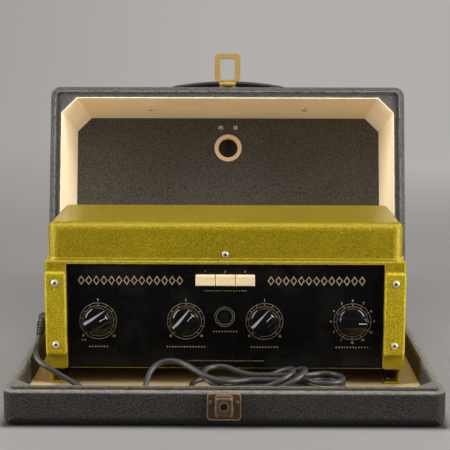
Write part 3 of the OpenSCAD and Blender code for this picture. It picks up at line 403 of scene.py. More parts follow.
def mouldedPlastic(shader, place, look):
    feed(shader["Specular IOR Level"], look.get("gloss", 0.5))
    film = useGroup(dustGroup, place, Scale=75.0)
    wear = useGroup(wearGroup, place, Radius=0.0006, Scale=300.0, Amount=0.4)
    amount = calc("ADD", film["Cloud"], times(wear["Mask"], 0.7), clamp=True)
    amount = times(amount, look["amount"])
    colour = mixColour(amount, look["base"], look["film"])
    rough = calc("ADD", times(film["Cloud"], 0.12), look["rough"])
    finishLook(shader, colour, rough, noise(place, 350.0, 2.0)["Fac"], 0.00003)


# leather of the strap and of the flap behind the lid
leatherLooks = {"wornLeather": {"crease": (0.006, 0.005, 0.005), "face": (0.030, 0.027, 0.025),
                                "edgeTint": (0.12, 0.095, 0.075)}}


def wornLeather(shader, place, look):
    feed(shader["Specular IOR Level"], 0.45)
    grain = useGroup(pebbleGroup, place, Scale=1300.0)
    wear = useGroup(wearGroup, place, Radius=0.0015, Scale=110.0, Amount=0.6)
    colour = mixColour(grain["Height"], look["crease"], look["face"])
    colour = mixColour(times(wear["Mask"], 0.6), colour, look["edgeTint"])
    rough = remap(grain["Speck"], 0, 1, 0.38, 0.6)
    finishLook(shader, colour, rough, grain["Height"], 0.00025)


# printed lines and figures, and sewing thread
paintLooks = {
    "ringBrown": {"base": (0.33, 0.24, 0.13), "faint": (0.16, 0.11, 0.06)},
    "figurePale": {"base": (0.50, 0.45, 0.36), "faint": (0.30, 0.26, 0.20)},
    "ornamentGold": {"base": (0.32, 0.235, 0.12), "faint": (0.15, 0.105, 0.055)},
    "pointerIvory": {"base": (0.74, 0.68, 0.54), "faint": (0.35, 0.30, 0.22)},
    "threadDark": {"base": (0.07, 0.06, 0.05), "faint": (0.03, 0.025, 0.02)}}


def thinPaint(shader, place, look):
    feed(shader["Roughness"], 0.5)
    patch = useGroup(blotchGroup, place, Scale=150.0, Low=0.45, High=0.75)
    feed(shader["Base Color"], mixColour(times(patch["Value"], 0.7), look["base"], look["faint"]))


# glass of the valves under a film of dust
glassLooks = {"valveGlass": {"clear": (0.85, 0.88, 0.88), "film": (0.30, 0.30, 0.31)}}


def valveGlass(shader, place, look):
    feed(shader["Transmission Weight"], 0.85)
    feed(shader["IOR"], 1.45)
    film = useGroup(dustGroup, place, Scale=60.0)["Cloud"]
    feed(shader["Base Color"], mixColour(film, look["clear"], look["film"]))
    feed(shader["Roughness"], remap(film, 0, 1, 0.04, 0.25))


makers = {grainedVinyl: vinylLooks, hammeredGold: goldLooks, paintedBoard: boardLooks, agedMetal: metalLooks,
          polishedPanel: panelLooks, mouldedPlastic: mouldedLooks, wornLeather: leatherLooks,
          thinPaint: paintLooks, valveGlass: glassLooks}
finishes = {name: newMaterial(maker, name, look)
            for maker, looks in makers.items() for name, look in looks.items()}
print("materials built")

nodeFinish = {
    "trayVinyl": ["tray_carcass"],
    "lidVinyl": ["lid_carcass"],
    "lidBoardDark": ["lid_panel"],
    "hammeredGold": ["body_shell", "bottom_plate", "top_cover", "foot_rails"],
    "cheekGold": ["cheek_left", "cheek_right"],
    "liningCream": ["lid_lining"],
    "floorTan": ["tray_lining"],
    "ringCream": ["port_ring"],
    "brassPale": ["hasp_plate", "hasp_loop", "handle_clamps", "drum_bearing"],
    "brassDark": ["lock_bolt", "hinge_base_leaves", "hinge_lid_leaves"],
    "lockBrass": ["lock_case"],
    "barrelDark": ["lock_barrel"],
    "nickel": ["lock_screws", "port_screws", "foot_bolts", "handle_bolts", "jack_sockets", "motor_spindle",
               "record_heads", "playback_heads"],
    "screwBright": ["unit_screws"],
    "steel": ["drum_deck", "head_bracket", "amp_chassis", "key_frame", "idler_post", "motor_can",
              "potentiometers", "selector_switch", "mains_transformer"],
    "aluminium": ["drum", "smoothing_cans"],
    "polishedPanel": ["front_panel"],
    "bakelite": ["knob_1", "knob_2", "knob_3", "knob_4", "indicator_bezel", "mains_plug"],
    "ivoryKeys": ["key_1", "key_2", "key_3"],
    "blackRubber": ["cord_gland", "idler_wheel"],
    "cordRubber": ["cord_run", "cord_hank"],
    "eyeGlass": ["indicator_tube"],
    "wornLeather": ["handle_strap", "port_cover"],
    "valveGlass": ["valves"],
}
for finish, names in nodeFinish.items():
    for name in names:
        for part in nodes[name].material_slots:
            part.material = finishes[finish]
print("nodes dressed")


# mesh helpers
def addMesh(name, bm, material, closed):
    bmesh.ops.remove_doubles(bm, verts=bm.verts, dist=1e-6)
    if closed:
        bmesh.ops.recalc_face_normals(bm, faces=bm.faces)
    mesh = bpy.data.meshes.new(name)
    bm.to_mesh(mesh)
    bm.free()
    for face in mesh.polygons:
        face.use_smooth = True
    mesh.materials.append(material)
    return addObject(name, mesh)


def newPiece(name, bm, finish, body, sharp=32, closed=True):
    piece = addMesh(name, bm, finishes[finish], closed)
    piece.data.set_sharp_from_angle(angle=math.radians(sharp))
    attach(piece, body)
    return piece


def lathe(bm, profile, place, steps=48):
    old = set(bm.verts)
    verts = [bm.verts.new((radius, 0, height)) for radius, height in profile]
    edges = [bm.edges.new(pair) for pair in zip(verts, verts[1:])]
    bmesh.ops.spin(bm, geom=verts + edges, cent=(0, 0, 0), axis=(0, 0, 1), angle=math.tau, steps=steps,
                   use_merge=True)
    bmesh.ops.transform(bm, matrix=place, verts=[vert for vert in bm.verts if vert not in old])


def block(bm, place, size):
    return bmesh.ops.create_cube(bm, size=1, matrix=place @ Matrix.Diagonal((*size, 1)))["verts"]


def roundEdges(bm, edges, offset, segments):
    bmesh.ops.bevel(bm, geom=edges, offset=offset, affect="EDGES", segments=segments, profile=0.5,
                    material=-1)


def stitch(bm, radius, length, place):
    bmesh.ops.create_cone(bm, cap_ends=True, segments=6, radius1=radius, radius2=radius, depth=length,
                          matrix=place)


def flatRing(bm, centre, outer, width, place, segments=72):
    rings = set()
    for radius in (outer, outer - width):
        made = bmesh.ops.create_circle(bm, segments=segments, radius=radius,
                                       matrix=place @ shifted((*centre, 0)))["verts"]
        rings |= {edge for vert in made for edge in vert.link_edges}
    bmesh.ops.bridge_loops(bm, edges=list(rings))


def flatBar(bm, centre, length, width, turn, place):
    matrix = place @ shifted((*centre, 0)) @ turned(turn, "Z") @ Matrix.Diagonal((length, width, 1, 1))
    bmesh.ops.create_grid(bm, x_segments=1, y_segments=1, size=0.5, matrix=matrix)


# a figure stands about 0.7 of the font's size high
def flatFigure(bm, figure, height, centre, place):
    curve = bpy.data.curves.new("figure", "FONT")
    curve.body = figure
    curve.size = height * 1.4
    curve.align_x = curve.align_y = "CENTER"
    curve.resolution_u = 3
    holder = addObject("figure", curve)
    flat = bpy.data.meshes.new_from_object(holder.evaluated_get(bpy.context.evaluated_depsgraph_get()))
    flat.transform(place @ shifted((*centre, 0)))
    bm.from_mesh(flat)
    bpy.data.objects.remove(holder)
    bpy.data.curves.remove(curve)
    bpy.data.meshes.remove(flat)


# mains cord: a given route, then the tied hank, in millimetres as it lies in the tray
cordSet = {
    "diameter": 6.0, "sides": 5, "cuts": 5, "layZ": 14.4, "hankY": -72.0, "hankR": 19.4,
    "neckX": (34.0, 85.0), "neckHalf": 9.0, "neckCuts": 5, "upperZ": 30.0, "lowerZ": 23.3, "crestZ": 36.6,
    "crestRun": (0.3, 0.38, 0.44), "dropRun": (0.3, 0.4), "rightX": 110.0, "rightDip": (0.8, 0.9),
    "dipRate": 5, "leftX": (-18.0, -4.0), "leftTurn": 4.0, "bulbCuts": 12, "ringStep": 7.0,
    "floorBulge": 11.5, "floorHump": 7.1, "floorCuts": 10, "backR": 20.0, "turnR": 24.0,
    "underY": (-26, -13), "wrapX": 74.2, "wrapDrift": -17.4, "wrapSlant": (20.0, 28.0),
    "wrapR": (23.0, 11.75), "wrapDeg": (-90, 540, 18),
    "route": [
        (-209, -25.4, 63.6), (-209.828, -29.045, 58.906),
        (-210.6, -33.8, 54.8), (-211.2, -39.8, 51.4), (-210.3, -47.1, 48), (-207, -53.8, 44.2),
        (-201.1, -59.5, 40.3), (-192.1, -63.5, 36.1), (-184, -65, 31.6), (-174.4, -67, 26.6),
        (-164.4, -70, 21.8), (-154.8, -75.4, 17.8), (-145.6, -83, 15.2), (-136.4, -92.4, 14.4),
        (-127.4, -101.8, 14.4), (-118.4, -108.6, 14.4), (-108.4, -111, 14.6), (-98.8, -109, 16.4),
        (-90.8, -103.2, 20.2), (-85.8, -95, 25.6), (-83.4, -86.4, 31.6), (-80.8, -78.6, 37.6),
        (-75.2, -72, 42.8), (-66.6, -68.6, 46.2), (-56.4, -69, 47.4), (-46, -73, 46),
        (-36.4, -79.4, 42.8), (-26.8, -86, 39), (-16.6, -91.6, 35.6), (-5.4, -94.4, 32.8),
        (6, -92.2, 31.2), (16.6, -86.8, 30.3), (26, -82.4, 30), (34, -81, 30)],
    "tail": [
        (37.4, -95.8, 25.2), (28, -97.2, 26.1), (18.6, -101, 25.7), (10.2, -106.6, 24.2), (1.8, -112, 23),
        (-7, -115.8, 22.5), (-16, -117.8, 22.4), (-22, -118, 22.4), (-28, -118, 22.4)]}


def ease(t):
    return (1 - math.cos(math.pi * min(max(t, 0), 1))) / 2


# one lobe in plan: side arc out of the neck, round bulb, side arc back; x, y and the share travelled
def lobePoints(start, centre, lay):
    n, r, half = abs(centre - start), lay["hankR"], lay["neckHalf"]
    arcR = (n * n + half * half - r * r) / (2 * (r - half))
    turn = math.asin(n / (arcR + r))
    cuts = max(2, round(arcR * turn / lay["ringStep"]))
    side = [Vector((arcR * math.sin(turn * k / cuts), half + arcR * (1 - math.cos(turn * k / cuts))))
            for k in range(cuts + 1)]
    angles = [(math.pi / 2 + turn) * (2 * k / lay["bulbCuts"] - 1) for k in range(1, lay["bulbCuts"])]
    outline = [Vector((p.x, -p.y)) for p in side]
    outline += [Vector((n + r * math.cos(a), r * math.sin(a))) for a in angles] + side[::-1]
    eased = [(a + 2 * b + c) / 4 for a, b, c in zip(outline, outline[1:], outline[2:])]
    way = 1 if centre > start else -1
    points = [Vector((start, lay["hankY"])) + way * p for p in [outline[0]] + eased + [outline[-1]]]
    run = [0.0]
    for a, b in zip(points, points[1:]):
        run.append(run[-1] + (b - a).length)
    return [(p.x, p.y, s / run[-1]) for p, s in zip(points, run)]


# the two loops that lie on each other, from the neck to the left end on the floor
def loopPoints(lay):
    low, high = lay["neckX"]
    neck = [low + (high - low) * k / lay["neckCuts"] for k in range(1, lay["neckCuts"])]
    near, far = lay["hankY"] - lay["neckHalf"], lay["hankY"] + lay["neckHalf"]
    up, down, crest, floor = lay["upperZ"], lay["lowerZ"], lay["crestZ"], lay["layZ"]
    rise, hold, fall = lay["crestRun"]
    dropFrom, drop = lay["dropRun"]
    left = lay["leftX"][0]

    def rightLoop(z, dip):
        loop = [(x, y, z - dip * ease(lay["dipRate"] * min(f, 1 - f)))
                for x, y, f in lobePoints(high, lay["rightX"], lay)]
        return [(x, near, z) for x in neck] + loop + [(x, far, z) for x in neck[::-1]]

    points = rightLoop(up, lay["rightDip"][0])
    for x, y, f in lobePoints(low, lay["leftX"][1], lay):
        points.append((x, y, up + (crest - up) * ease(f / rise) if f < hold
                       else crest + (down - crest) * ease((f - hold) / fall)))
    points += rightLoop(down, lay["rightDip"][1])
    return points + [(x, y, down + (floor - down) * ease((f - dropFrom) / drop))
                     for x, y, f in lobePoints(low, left, lay)
                     if x < left - lay["leftTurn"] or y > lay["hankY"]]


def hankPoints(lay):
    points = loopPoints(lay)
    floor, left, right, cuts = lay["layZ"], lay["leftX"][0], lay["rightX"], lay["floorCuts"]
    edge = lay["hankY"] - lay["hankR"]
    for k in range(cuts + 1):  # along the floor with a low hump
        b = (1 - math.cos(math.tau * k / cuts)) / 2
        points.append((left + (right - left) * k / cuts, edge - lay["floorBulge"] * b,
                       floor + lay["floorHump"] * b))
    r = lay["backR"]
    for k in range(1, 5):  # round to the front
        turn = math.radians(90 - 45 * k)
        points.append((right + r * math.cos(turn), edge - r + r * math.sin(turn), floor))
    front = edge - 2 * r
    slantFrom, slantTo = lay["wrapSlant"]
    under = lay["wrapX"] - slantFrom
    r = lay["turnR"]
    for k in range(5):  # and under the neck
        turn = math.radians(-90 - 22.5 * k)
        points.append((under + r * (1 + math.cos(turn)), front + r * (1 + math.sin(turn)), floor))
    points += [(under, lay["hankY"] + y, floor) for y in lay["underY"]]
    first, last, step = lay["wrapDeg"]
    for deg in range(first, last + 1, step):  # two slanting wraps
        turn = math.radians(deg)
        slant = slantFrom + (slantTo - slantFrom) * (deg - first) / (last - first)
        points.append((lay["wrapX"] + lay["wrapDrift"] * (deg - first) / 360 + slant * math.sin(turn),
                       lay["hankY"] + lay["wrapR"][0] * math.cos(turn),
                       floor + lay["wrapR"][1] * (1 + math.sin(turn))))
    return points + lay["tail"]


def smoothed(points, cuts):
    points = [Vector(p) for p in points]
    ends = [2 * points[0] - points[1]] + points + [2 * points[-1] - points[-2]]
    made = []
    for a, b, c, d in zip(ends, ends[1:], ends[2:], ends[3:]):
        for k in range(cuts):
            t = k / cuts
            made.append(0.5 * (2 * b + (c - a) * t + (2 * a - 5 * b + 4 * c - d) * t ** 2
                               + (3 * b - a - 3 * c + d) * t ** 3))
    return made + [points[-1]]


def layCord(lay):
    path = [point / 1000 for point in smoothed(lay["route"] + hankPoints(lay), lay["cuts"])]
    curve = bpy.data.curves.new("mainsCord", "CURVE")
    curve.dimensions = "3D"
    curve.bevel_depth = lay["diameter"] / 2000
    curve.bevel_resolution = lay["sides"]
    curve.use_fill_caps = True
    spline = curve.splines.new("POLY")
    spline.points.add(len(path) - 1)
    for point, place in zip(spline.points, path):
        point.co = (*place, 1)
    spline.use_smooth = True
    curve.materials.append(finishes["cordRubber"])
    cord = addObject("mainsCord", curve)
    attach(cord, "base")
    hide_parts("cord_run", "cord_hank")
    length = sum((b - a).length for a, b in zip(path, path[1:]))
    return cord, path, length


mainsCord, cordPath, cordLength = layCord(cordSet)

# round plug on the cord's end: ribbed body with a small boot, two pins
plugSet = {"place": (-0.028, -0.118, 0.0224), "ribs": 14, "ribPlace": (0.0107, 0, 0.0245),
           "ribSize": (0.0011, 0.0019, 0.0095), "ribEdge": 0.0003, "pinSpread": 0.0062, "pinR": 0.0024,
           "pinFrom": 0.033, "pinTo": 0.053, "pinTip": (0.0016, 0.0004, 0.75)}
plugProfile = [(0, 0), (0.0034, 0), (0.0050, 0.0006), (0.0054, 0.003), (0.0050, 0.0036), (0.0056, 0.0042),
               (0.0059, 0.0062), (0.0055, 0.0068), (0.0062, 0.0074), (0.0066, 0.0098), (0.0080, 0.0104),
               (0.0094, 0.0128), (0.0106, 0.0170), (0.0108, 0.0190), (0.0108, 0.0300), (0.0104, 0.0312),
               (0.0106, 0.0318), (0.0106, 0.0332), (0.0098, 0.0340), (0, 0.0340)]


def makePlug(look):
    place = shifted(look["place"]) @ turned(-90, "Y")
    bm = bmesh.new()
    lathe(bm, plugProfile, place, 56)
    for k in range(look["ribs"]):  # grip ribs round the body
        rib = place @ turned(360 * k / look["ribs"], "Z") @ shifted(look["ribPlace"])
        made = block(bm, rib, look["ribSize"])
        roundEdges(bm, list({edge for vert in made for edge in vert.link_edges}), look["ribEdge"], 2)
    body = newPiece("plugBody", bm, "bakelite", "base")
    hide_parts("mains_plug")
    bm = bmesh.new()
    r, low, high = look["pinR"], look["pinFrom"], look["pinTo"]
    shoulder, tip, share = look["pinTip"]
    for side in (-1, 1):
        lathe(bm, [(0, low), (r, low), (r, high - shoulder), (r * share, high - tip), (0, high)],
              place @ shifted((0, side * look["pinSpread"], 0)), 28)
    pins = newPiece("plugPins", bm, "nickel", "base")
    return body, pins


plugPieces = makePlug(plugSet)
print("cord laid, metres:", round(cordLength, 3))

# ribbed boot where the cord leaves the body; ribs are placed by shares of its length
glandSet = {"hub": (-0.206, -0.0122, 0.0806), "end": (-0.209, -0.0254, 0.0636), "rootR": 0.0062,
            "tipR": 0.0041, "ribs": 5, "ribFrom": 0.26, "ribPitch": 0.135, "ribLong": 0.085, "ribR": 0.0061,
            "ribTaper": 0.0004, "groove": 0.0009, "slope": 0.0006}
flangeProfile = [(0, 0.008), (0.0049, 0.008), (0.0049, 0.006), (0.0078, 0.006), (0.0078, 0.0040),
                 (0.0070, 0.0034), (0.0068, 0.0010), (0.0060, -0.0034), (0.0038, -0.0056), (0, -0.0064)]


def makeGland(look):
    hub, end = Vector(look["hub"]), Vector(look["end"])
    bm = bmesh.new()
    lathe(bm, flangeProfile, shifted(hub) @ turned(90, "Y"), 40)
    length = (end - hub).length
    profile = [(0, 0), (look["rootR"], 0)]
    for k in range(look["ribs"]):
        start = look["ribFrom"] + look["ribPitch"] * k
        low, high = length * start, length * (start + look["ribLong"])
        wide = look["ribR"] - look["ribTaper"] * k
        deep, slope = wide - look["groove"], look["slope"]
        profile += [(deep, low - slope), (wide, low), (wide, high), (deep, high + slope)]
    profile += [(look["tipR"], length), (0, length)]
    lathe(bm, profile, shifted(hub) @ aimed(end - hub), 40)
    piece = newPiece("cordBoot", bm, "blackRubber", "base")
    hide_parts("cord_gland")


makeGland(glandSet)
print("boot made")

# control knobs: domed disc, bar grip across it, painted marks as distance out, length, width and turn
arrowMarks = [(0.00735, 0.0087, 0.0005, 90), (0.0121, 0.0042, 0.0008, 0)]
lineMarks = [(0.0101, 0.0082, 0.0007, 90)]
knobSet = {"x": (-0.1414, -0.0437, 0.0437, 0.1414), "turn": (59, 42, 45, 90), "y": -0.0376, "z": 0.0845,
           "r": 0.016, "inset": 0.0003, "high": 0.012, "bar": 0.0145, "barTop": 0.0089, "slope": 0.0022,
           "endTaper": 0.95, "edge": 0.0004, "marks": [arrowMarks] * 3 + [lineMarks], "markUp": 0.00006}
knobProfile = [(0, 0.0062), (0.005, 0.0061), (0.008, 0.0058), (0.011, 0.0052), (0.0130, 0.0045),
               (0.0145, 0.0037), (0.0154, 0.0028), (0.0159, 0.0018), (0.0160, 0.0008), (0.0158, 0.0002),
               (0.0154, 0), (0, 0)]


# bar grip: a disc cut to two flats, raised, drawn in at the top
def knobGrip(look, place):
    bm = bmesh.new()
    bmesh.ops.create_circle(bm, cap_ends=True, segments=96, radius=look["r"] - look["inset"])
    for side in (-1, 1):
        bmesh.ops.bisect_plane(bm, geom=list(bm.verts) + list(bm.edges) + list(bm.faces), clear_outer=True,
                               plane_co=(side * look["bar"] / 2, 0, 0), plane_no=(side, 0, 0))
    face = list(bm.faces)
    for rise, shrink in ((look["high"] - look["slope"], (1, 1, 1)),
                         (look["slope"], (look["barTop"] / look["bar"], look["endTaper"], 1))):
        raised = bmesh.ops.extrude_face_region(bm, geom=face)["geom"]
        top = [item for item in raised if isinstance(item, bmesh.types.BMVert)]
        face = [item for item in raised if isinstance(item, bmesh.types.BMFace)]
        bmesh.ops.translate(bm, verts=top, vec=(0, 0, rise))
        bmesh.ops.scale(bm, verts=top, vec=shrink)
    topVerts = set(top)
    rim = [edge for edge in bm.edges if topVerts.issuperset(edge.verts) and len(edge.link_faces) == 2]
    roundEdges(bm, rim, look["edge"], 3)
    bmesh.ops.transform(bm, matrix=place, verts=bm.verts)
    grip = bpy.data.meshes.new("grip")
    bm.to_mesh(grip)
    bm.free()
    return grip


def makeKnob(index, look):
    place = (shifted((look["x"][index], look["y"], look["z"])) @ turned(90, "X")
             @ turned(-look["turn"][index], "Z"))
    bm = bmesh.new()
    lathe(bm, knobProfile, place, 72)
    grip = knobGrip(look, place)
    bm.from_mesh(grip)
    bpy.data.meshes.remove(grip)
    body = "knob_%d_body" % (index + 1)
    knob = newPiece("knob%d" % (index + 1), bm, "bakelite", body)
    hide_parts("knob_%d" % (index + 1))
    bm = bmesh.new()
    face = place @ shifted((0, 0, look["high"] + look["markUp"]))
    for out, length, width, turn in look["marks"][index]:
        flatBar(bm, (0, out), length, width, turn, face)
    newPiece("pointer%d" % (index + 1), bm, "pointerIvory", body, closed=False)


for index in range(4):
    makeKnob(index, knobSet)
print("knobs made")

# thin black strip over the gold edge under the panel: painted shade
panelShadeSet = {"half": 0.1758, "z": (0.0311, 0.03215), "y": (-0.0389, -0.0370)}


def makeSill(look):
    bm = bmesh.new()
    low, high = look["z"]
    near, far = look["y"]
    place = shifted((0, (near + far) / 2, (low + high) / 2))
    block(bm, place, (2 * look["half"], far - near, high - low))
    newPiece("panelShadeStrip", bm, "polishedPanel", "base")


makeSill(panelShadeSet)

# flat dark discs on the cup-head screws of the cheeks and the cover: painted shade of their hollows
screwShadeSet = {"x": 0.18775, "y": -0.04605, "z": (0.0585, 0.1285), "r": 0.00155, "deep": 0.0002,
             "coverUp": 0.0065, "headHigh": 0.00185}


def makeHollows(look):
    bm = bmesh.new()
    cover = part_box("top_cover")[0]
    spots = [(side * look["x"], look["y"], z) for side in (-1, 1) for z in look["z"]]
    spots.append((0, cover[1] - look["headHigh"], cover[2] + look["coverUp"]))
    r, deep = look["r"], look["deep"]
    for spot in spots:
        lathe(bm, [(0, 0), (r, 0), (r, deep), (0, deep)], shifted(spot) @ turned(90, "X"), 24)
    newPiece("screwHollowShade", bm, "blackRubber", "base")


makeHollows(screwShadeSet)

# printing on the panel: dial rings, ticks and figures, chains of lozenges elsewhere
printSet = {"y": -0.03706, "drop": 0.0006, "outer": 0.0207, "inner": 0.0175, "line": 0.0004, "tick": 0.0005,
            "figure": 0.0026, "figureR": 0.0240, "keyFigure": 0.0022, "keyFigureX": (-0.022, 0, 0.022),
            "keyFigureZ": 0.1402,
            "lozenge": {"high": 0.0110, "wide": 0.0075, "stroke": 0.0019, "pitch": 0.0084},
            "chains": [(-0.105, 0.1300, 14), (0.101, 0.1300, 13)],
            "small": (0.00134, 0.0032), "tiny": (0.00092, 0.0024),
            "labels": [(-0.1414, 0.0545, 7, "small"), (-0.0437, 0.0545, 14, "small"),
                       (0.0437, 0.0545, 10, "small"), (0.1414, 0.0545, 12, "small"),
                       (0, 0.0722, 9, "small"), (0, 0.1186, 15, "small"),
                       (-0.1579, 0.0620, 2, "small"), (0.0008, 0.0385, 36, "tiny")]}


# angle and figure of each tick: three level dials of 0 to 10, then a twelve-way switch
def dialTicks(index):
    if index == 3:
        return [(30 * (k - 6), str(k)) for k in range(1, 13)]
    return [(27 * k - 135, str(k) if k % 5 == 0 else None) for k in range(11)]


def inRow(centre, count, pitch):
    return [centre + (k - (count - 1) / 2) * pitch for k in range(count)]


def makePrint(look):
    place = shifted((0, look["y"], 0)) @ turned(90, "X")
    rings, figures, chains = bmesh.new(), bmesh.new(), bmesh.new()
    low, high = look["inner"], look["outer"] - look["line"]
    for index, x in enumerate(knobSet["x"]):
        centre = Vector((x, knobSet["z"] - look["drop"]))
        flatRing(rings, centre, look["outer"], look["line"], place)
        flatRing(rings, centre, look["inner"], look["line"], place)
        for deg, figure in dialTicks(index):
            way = Vector((math.sin(math.radians(deg)), math.cos(math.radians(deg))))
            flatBar(rings, centre + (low + high) / 2 * way, high - low, look["tick"], 90 - deg, place)
            if figure:
                flatFigure(figures, figure, look["figure"], centre + look["figureR"] * way, place)
    for k, x in enumerate(look["keyFigureX"]):
        flatFigure(figures, str(k + 1), look["keyFigure"], (x, look["keyFigureZ"]), place)
    shape = look["lozenge"]
    squeeze = Matrix.Diagonal((shape["wide"] / shape["high"], 1, 1, 1))
    for middle, z, count in look["chains"]:
        for x in inRow(middle, count, shape["pitch"]):
            flatRing(chains, (0, 0), shape["high"] / 2, shape["stroke"],
                     place @ shifted((x, z, 0)) @ squeeze, segments=4)
    for middle, z, count, kind in look["labels"]:
        size, pitch = look[kind]
        for x in inRow(middle, count, pitch):
            flatBar(chains, (x, z), size, size, 45, place)
    newPiece("dialRings", rings, "ringBrown", "base", closed=False)
    newPiece("dialFigures", figures, "figurePale", "base", closed=False)
    newPiece("panelChains", chains, "ornamentGold", "base", closed=False)


makePrint(printSet)

# level window: two fine rings on the bezel and a domed lens
eyeSet = {"x": -0.0006, "z": 0.0895, "front": -0.0392, "printUp": 0.00005, "rings": (0.0112, 0.0090),
          "line": 0.0003, "lens": 0.0073, "dome": 0.0016, "sunk": 0.0006, "back": 0.0024}


def makeEye(look):
    place = shifted((look["x"], look["front"] - look["printUp"], look["z"])) @ turned(90, "X")
    bm = bmesh.new()
    for outer in look["rings"]:
        flatRing(bm, (0, 0), outer, look["line"], place)
    newPiece("eyeRings", bm, "ringBrown", "base", closed=False)
    bm = bmesh.new()
    r = look["lens"]
    angles = [math.radians(deg) for deg in range(0, 91, 10)]
    dome = [(r * math.sin(a), look["dome"] * (math.cos(a) - 1) - look["sunk"]) for a in angles]
    lathe(bm, dome + [(r, -look["back"]), (0, -look["back"])], place, 48)
    newPiece("eyeLens", bm, "eyeGlass", "base")


makeEye(eyeSet)
print("printing and level window made")

# carrying strap, in millimetres: thick leather bowed between its clamps, stitched along both edges
strapSet = {"half": 94.0, "flat": 24.0, "bendR": 19.0, "bend": 45.0, "rise": 17.0, "wide": 24.0, "thick": 4.5,
            "wallY": -150.0, "z": 119.0, "crown": 1.3, "crownFall": 2.3, "sidePower": 0.35, "facePower": 0.6,
            "stitches": 46, "stitchFrom": 0.13, "stitchRun": 0.74, "stitchSide": 9.6, "stitchHalf": 1.3,
            "stitchUp": 0.05, "stitchR": 0.00042}


# course of the strap from its middle outwards: low crown, shoulder, foot, flat end
def strapCourse(look):
    r, bend = look["bendR"], math.radians(look["bend"])
    sx, sy = look["half"] - 2 * r * math.sin(bend), r * (1 - 2 * math.cos(bend)) - look["rise"]
    crownR = (sx * sx + sy * sy - r * r) / (-2 * (sy + r))
    crown = math.atan2(sx, sy + crownR)
    ends = [crownR * crown]
    ends.append(ends[0] + r * (bend - crown))
    ends.append(ends[1] + r * bend)
    total = 2 * (ends[2] + look["flat"])

    def at(s):
        side = 1 if s > total / 2 else -1
        s = abs(s - total / 2)
        if s <= ends[0]:
            a = s / crownR
            x, off = crownR * math.sin(a), look["rise"] - crownR * (1 - math.cos(a))
        elif s <= ends[1]:
            a = crown + (s - ends[0]) / r
            x, off = sx + r * math.sin(a), look["rise"] + sy + r * math.cos(a)
        elif s <= ends[2]:
            a = bend - (s - ends[1]) / r
            x, off = look["half"] - r * math.sin(a), r * (1 - math.cos(a))
        else:
            a, x, off = 0.0, look["half"] + s - ends[2], 0.0
        return side * x, look["thick"] / 2 + off, -side * a

    return at, total


def makeStrap(look):
    at, total = strapCourse(look)
    bm = bmesh.new()
    bmesh.ops.create_grid(bm, x_segments=90, y_segments=28, size=0.5)

    def surface(s, side, out):
        x, off, a = at(s)
        x, off = x - out * math.sin(a), off + out * math.cos(a)
        return lidPlace @ Vector((x / 1000, (look["wallY"] - off) / 1000, (look["z"] + side) / 1000))

    for vert in bm.verts:
        s = min(max(vert.co.x + 0.5, 0), 1) * total
        turn = (vert.co.y + 0.5) * math.tau
        fill = math.sin(math.pi * s / total) ** 2
        c, n = math.cos(turn), math.sin(turn)
        side = look["wide"] / 2 * math.copysign(abs(c) ** look["sidePower"], c)
        out = look["thick"] / 2 * math.copysign(abs(n) ** look["facePower"], n)
        if out > 0:
            out += look["crown"] * fill * max(0, 1 - (side / look["wide"] * look["crownFall"]) ** 2)
        vert.co = surface(s, side, out)
    bmesh.ops.remove_doubles(bm, verts=bm.verts, dist=1e-5)
    bmesh.ops.holes_fill(bm, edges=[edge for edge in bm.edges if edge.is_boundary])
    strap = newPiece("leatherStrap", bm, "wornLeather", "lid", sharp=60)
    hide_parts("handle_strap")
    bm = bmesh.new()
    for k in range(look["stitches"]):
        s = total * (look["stitchFrom"] + look["stitchRun"] * (k + 0.5) / look["stitches"])
        for side in (-look["stitchSide"], look["stitchSide"]):
            a, b = (surface(s + half, side, look["thick"] / 2 + look["stitchUp"])
                    for half in (-look["stitchHalf"], look["stitchHalf"]))
            stitch(bm, look["stitchR"], (b - a).length, shifted((a + b) / 2) @ aimed(b - a))
    newPiece("strapStitches", bm, "threadDark", "lid")


makeStrap(strapSet)

# leather flap that closes the port behind the lid, stitched round its edge
flapSet = {"centre": (0, -0.102, 0.210), "size": (0.054, 0.072), "thick": 0.0034, "corner": 0.010,
           "edge": 0.0012, "inset": 0.004, "stitchPitch": 0.0042, "stitchLong": 0.0028, "stitchR": 0.0004,
           "stitchUp": 0.0001}


def makeFlap(look):
    bm = bmesh.new()
    w, d = look["size"]
    x, y, z = look["centre"]
    high = z + look["thick"]
    block(bm, shifted((x, y, z + look["thick"] / 2)), (w, d, look["thick"]))
    upright = [edge for edge in bm.edges if abs(edge.verts[0].co.z - edge.verts[1].co.z) > 0.001]
    roundEdges(bm, upright, look["corner"], 8)
    rim = [edge for edge in bm.edges if all(abs(vert.co.z - high) < 1e-6 for vert in edge.verts)]
    roundEdges(bm, rim, look["edge"], 4)
    bmesh.ops.transform(bm, matrix=lidPlace, verts=bm.verts)
    flap = newPiece("portFlap", bm, "wornLeather", "lid", sharp=50)
    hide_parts("port_cover")
    bm = bmesh.new()
    corner = look["corner"] - look["inset"]
    a, b = w / 2 - look["inset"], d / 2 - look["inset"]
    for length, (offX, offY), turn in ((2 * (a - corner), (0, b), 0), (2 * (a - corner), (0, -b), 0),
                                       (2 * (b - corner), (a, 0), 90), (2 * (b - corner), (-a, 0), 90)):
        start = shifted((x + offX, y + offY, high + look["stitchUp"]))
        seam = lidPlace @ start @ turned(turn, "Z")
        count = round(length / look["stitchPitch"])
        for k in range(count):
            step = shifted((((k + 0.5) / count - 0.5) * length, 0, 0))
            stitch(bm, look["stitchR"], look["stitchLong"], seam @ step @ turned(90, "Y"))
    newPiece("flapStitches", bm, "threadDark", "lid")


makeFlap(flapSet)
print("strap and flap made")

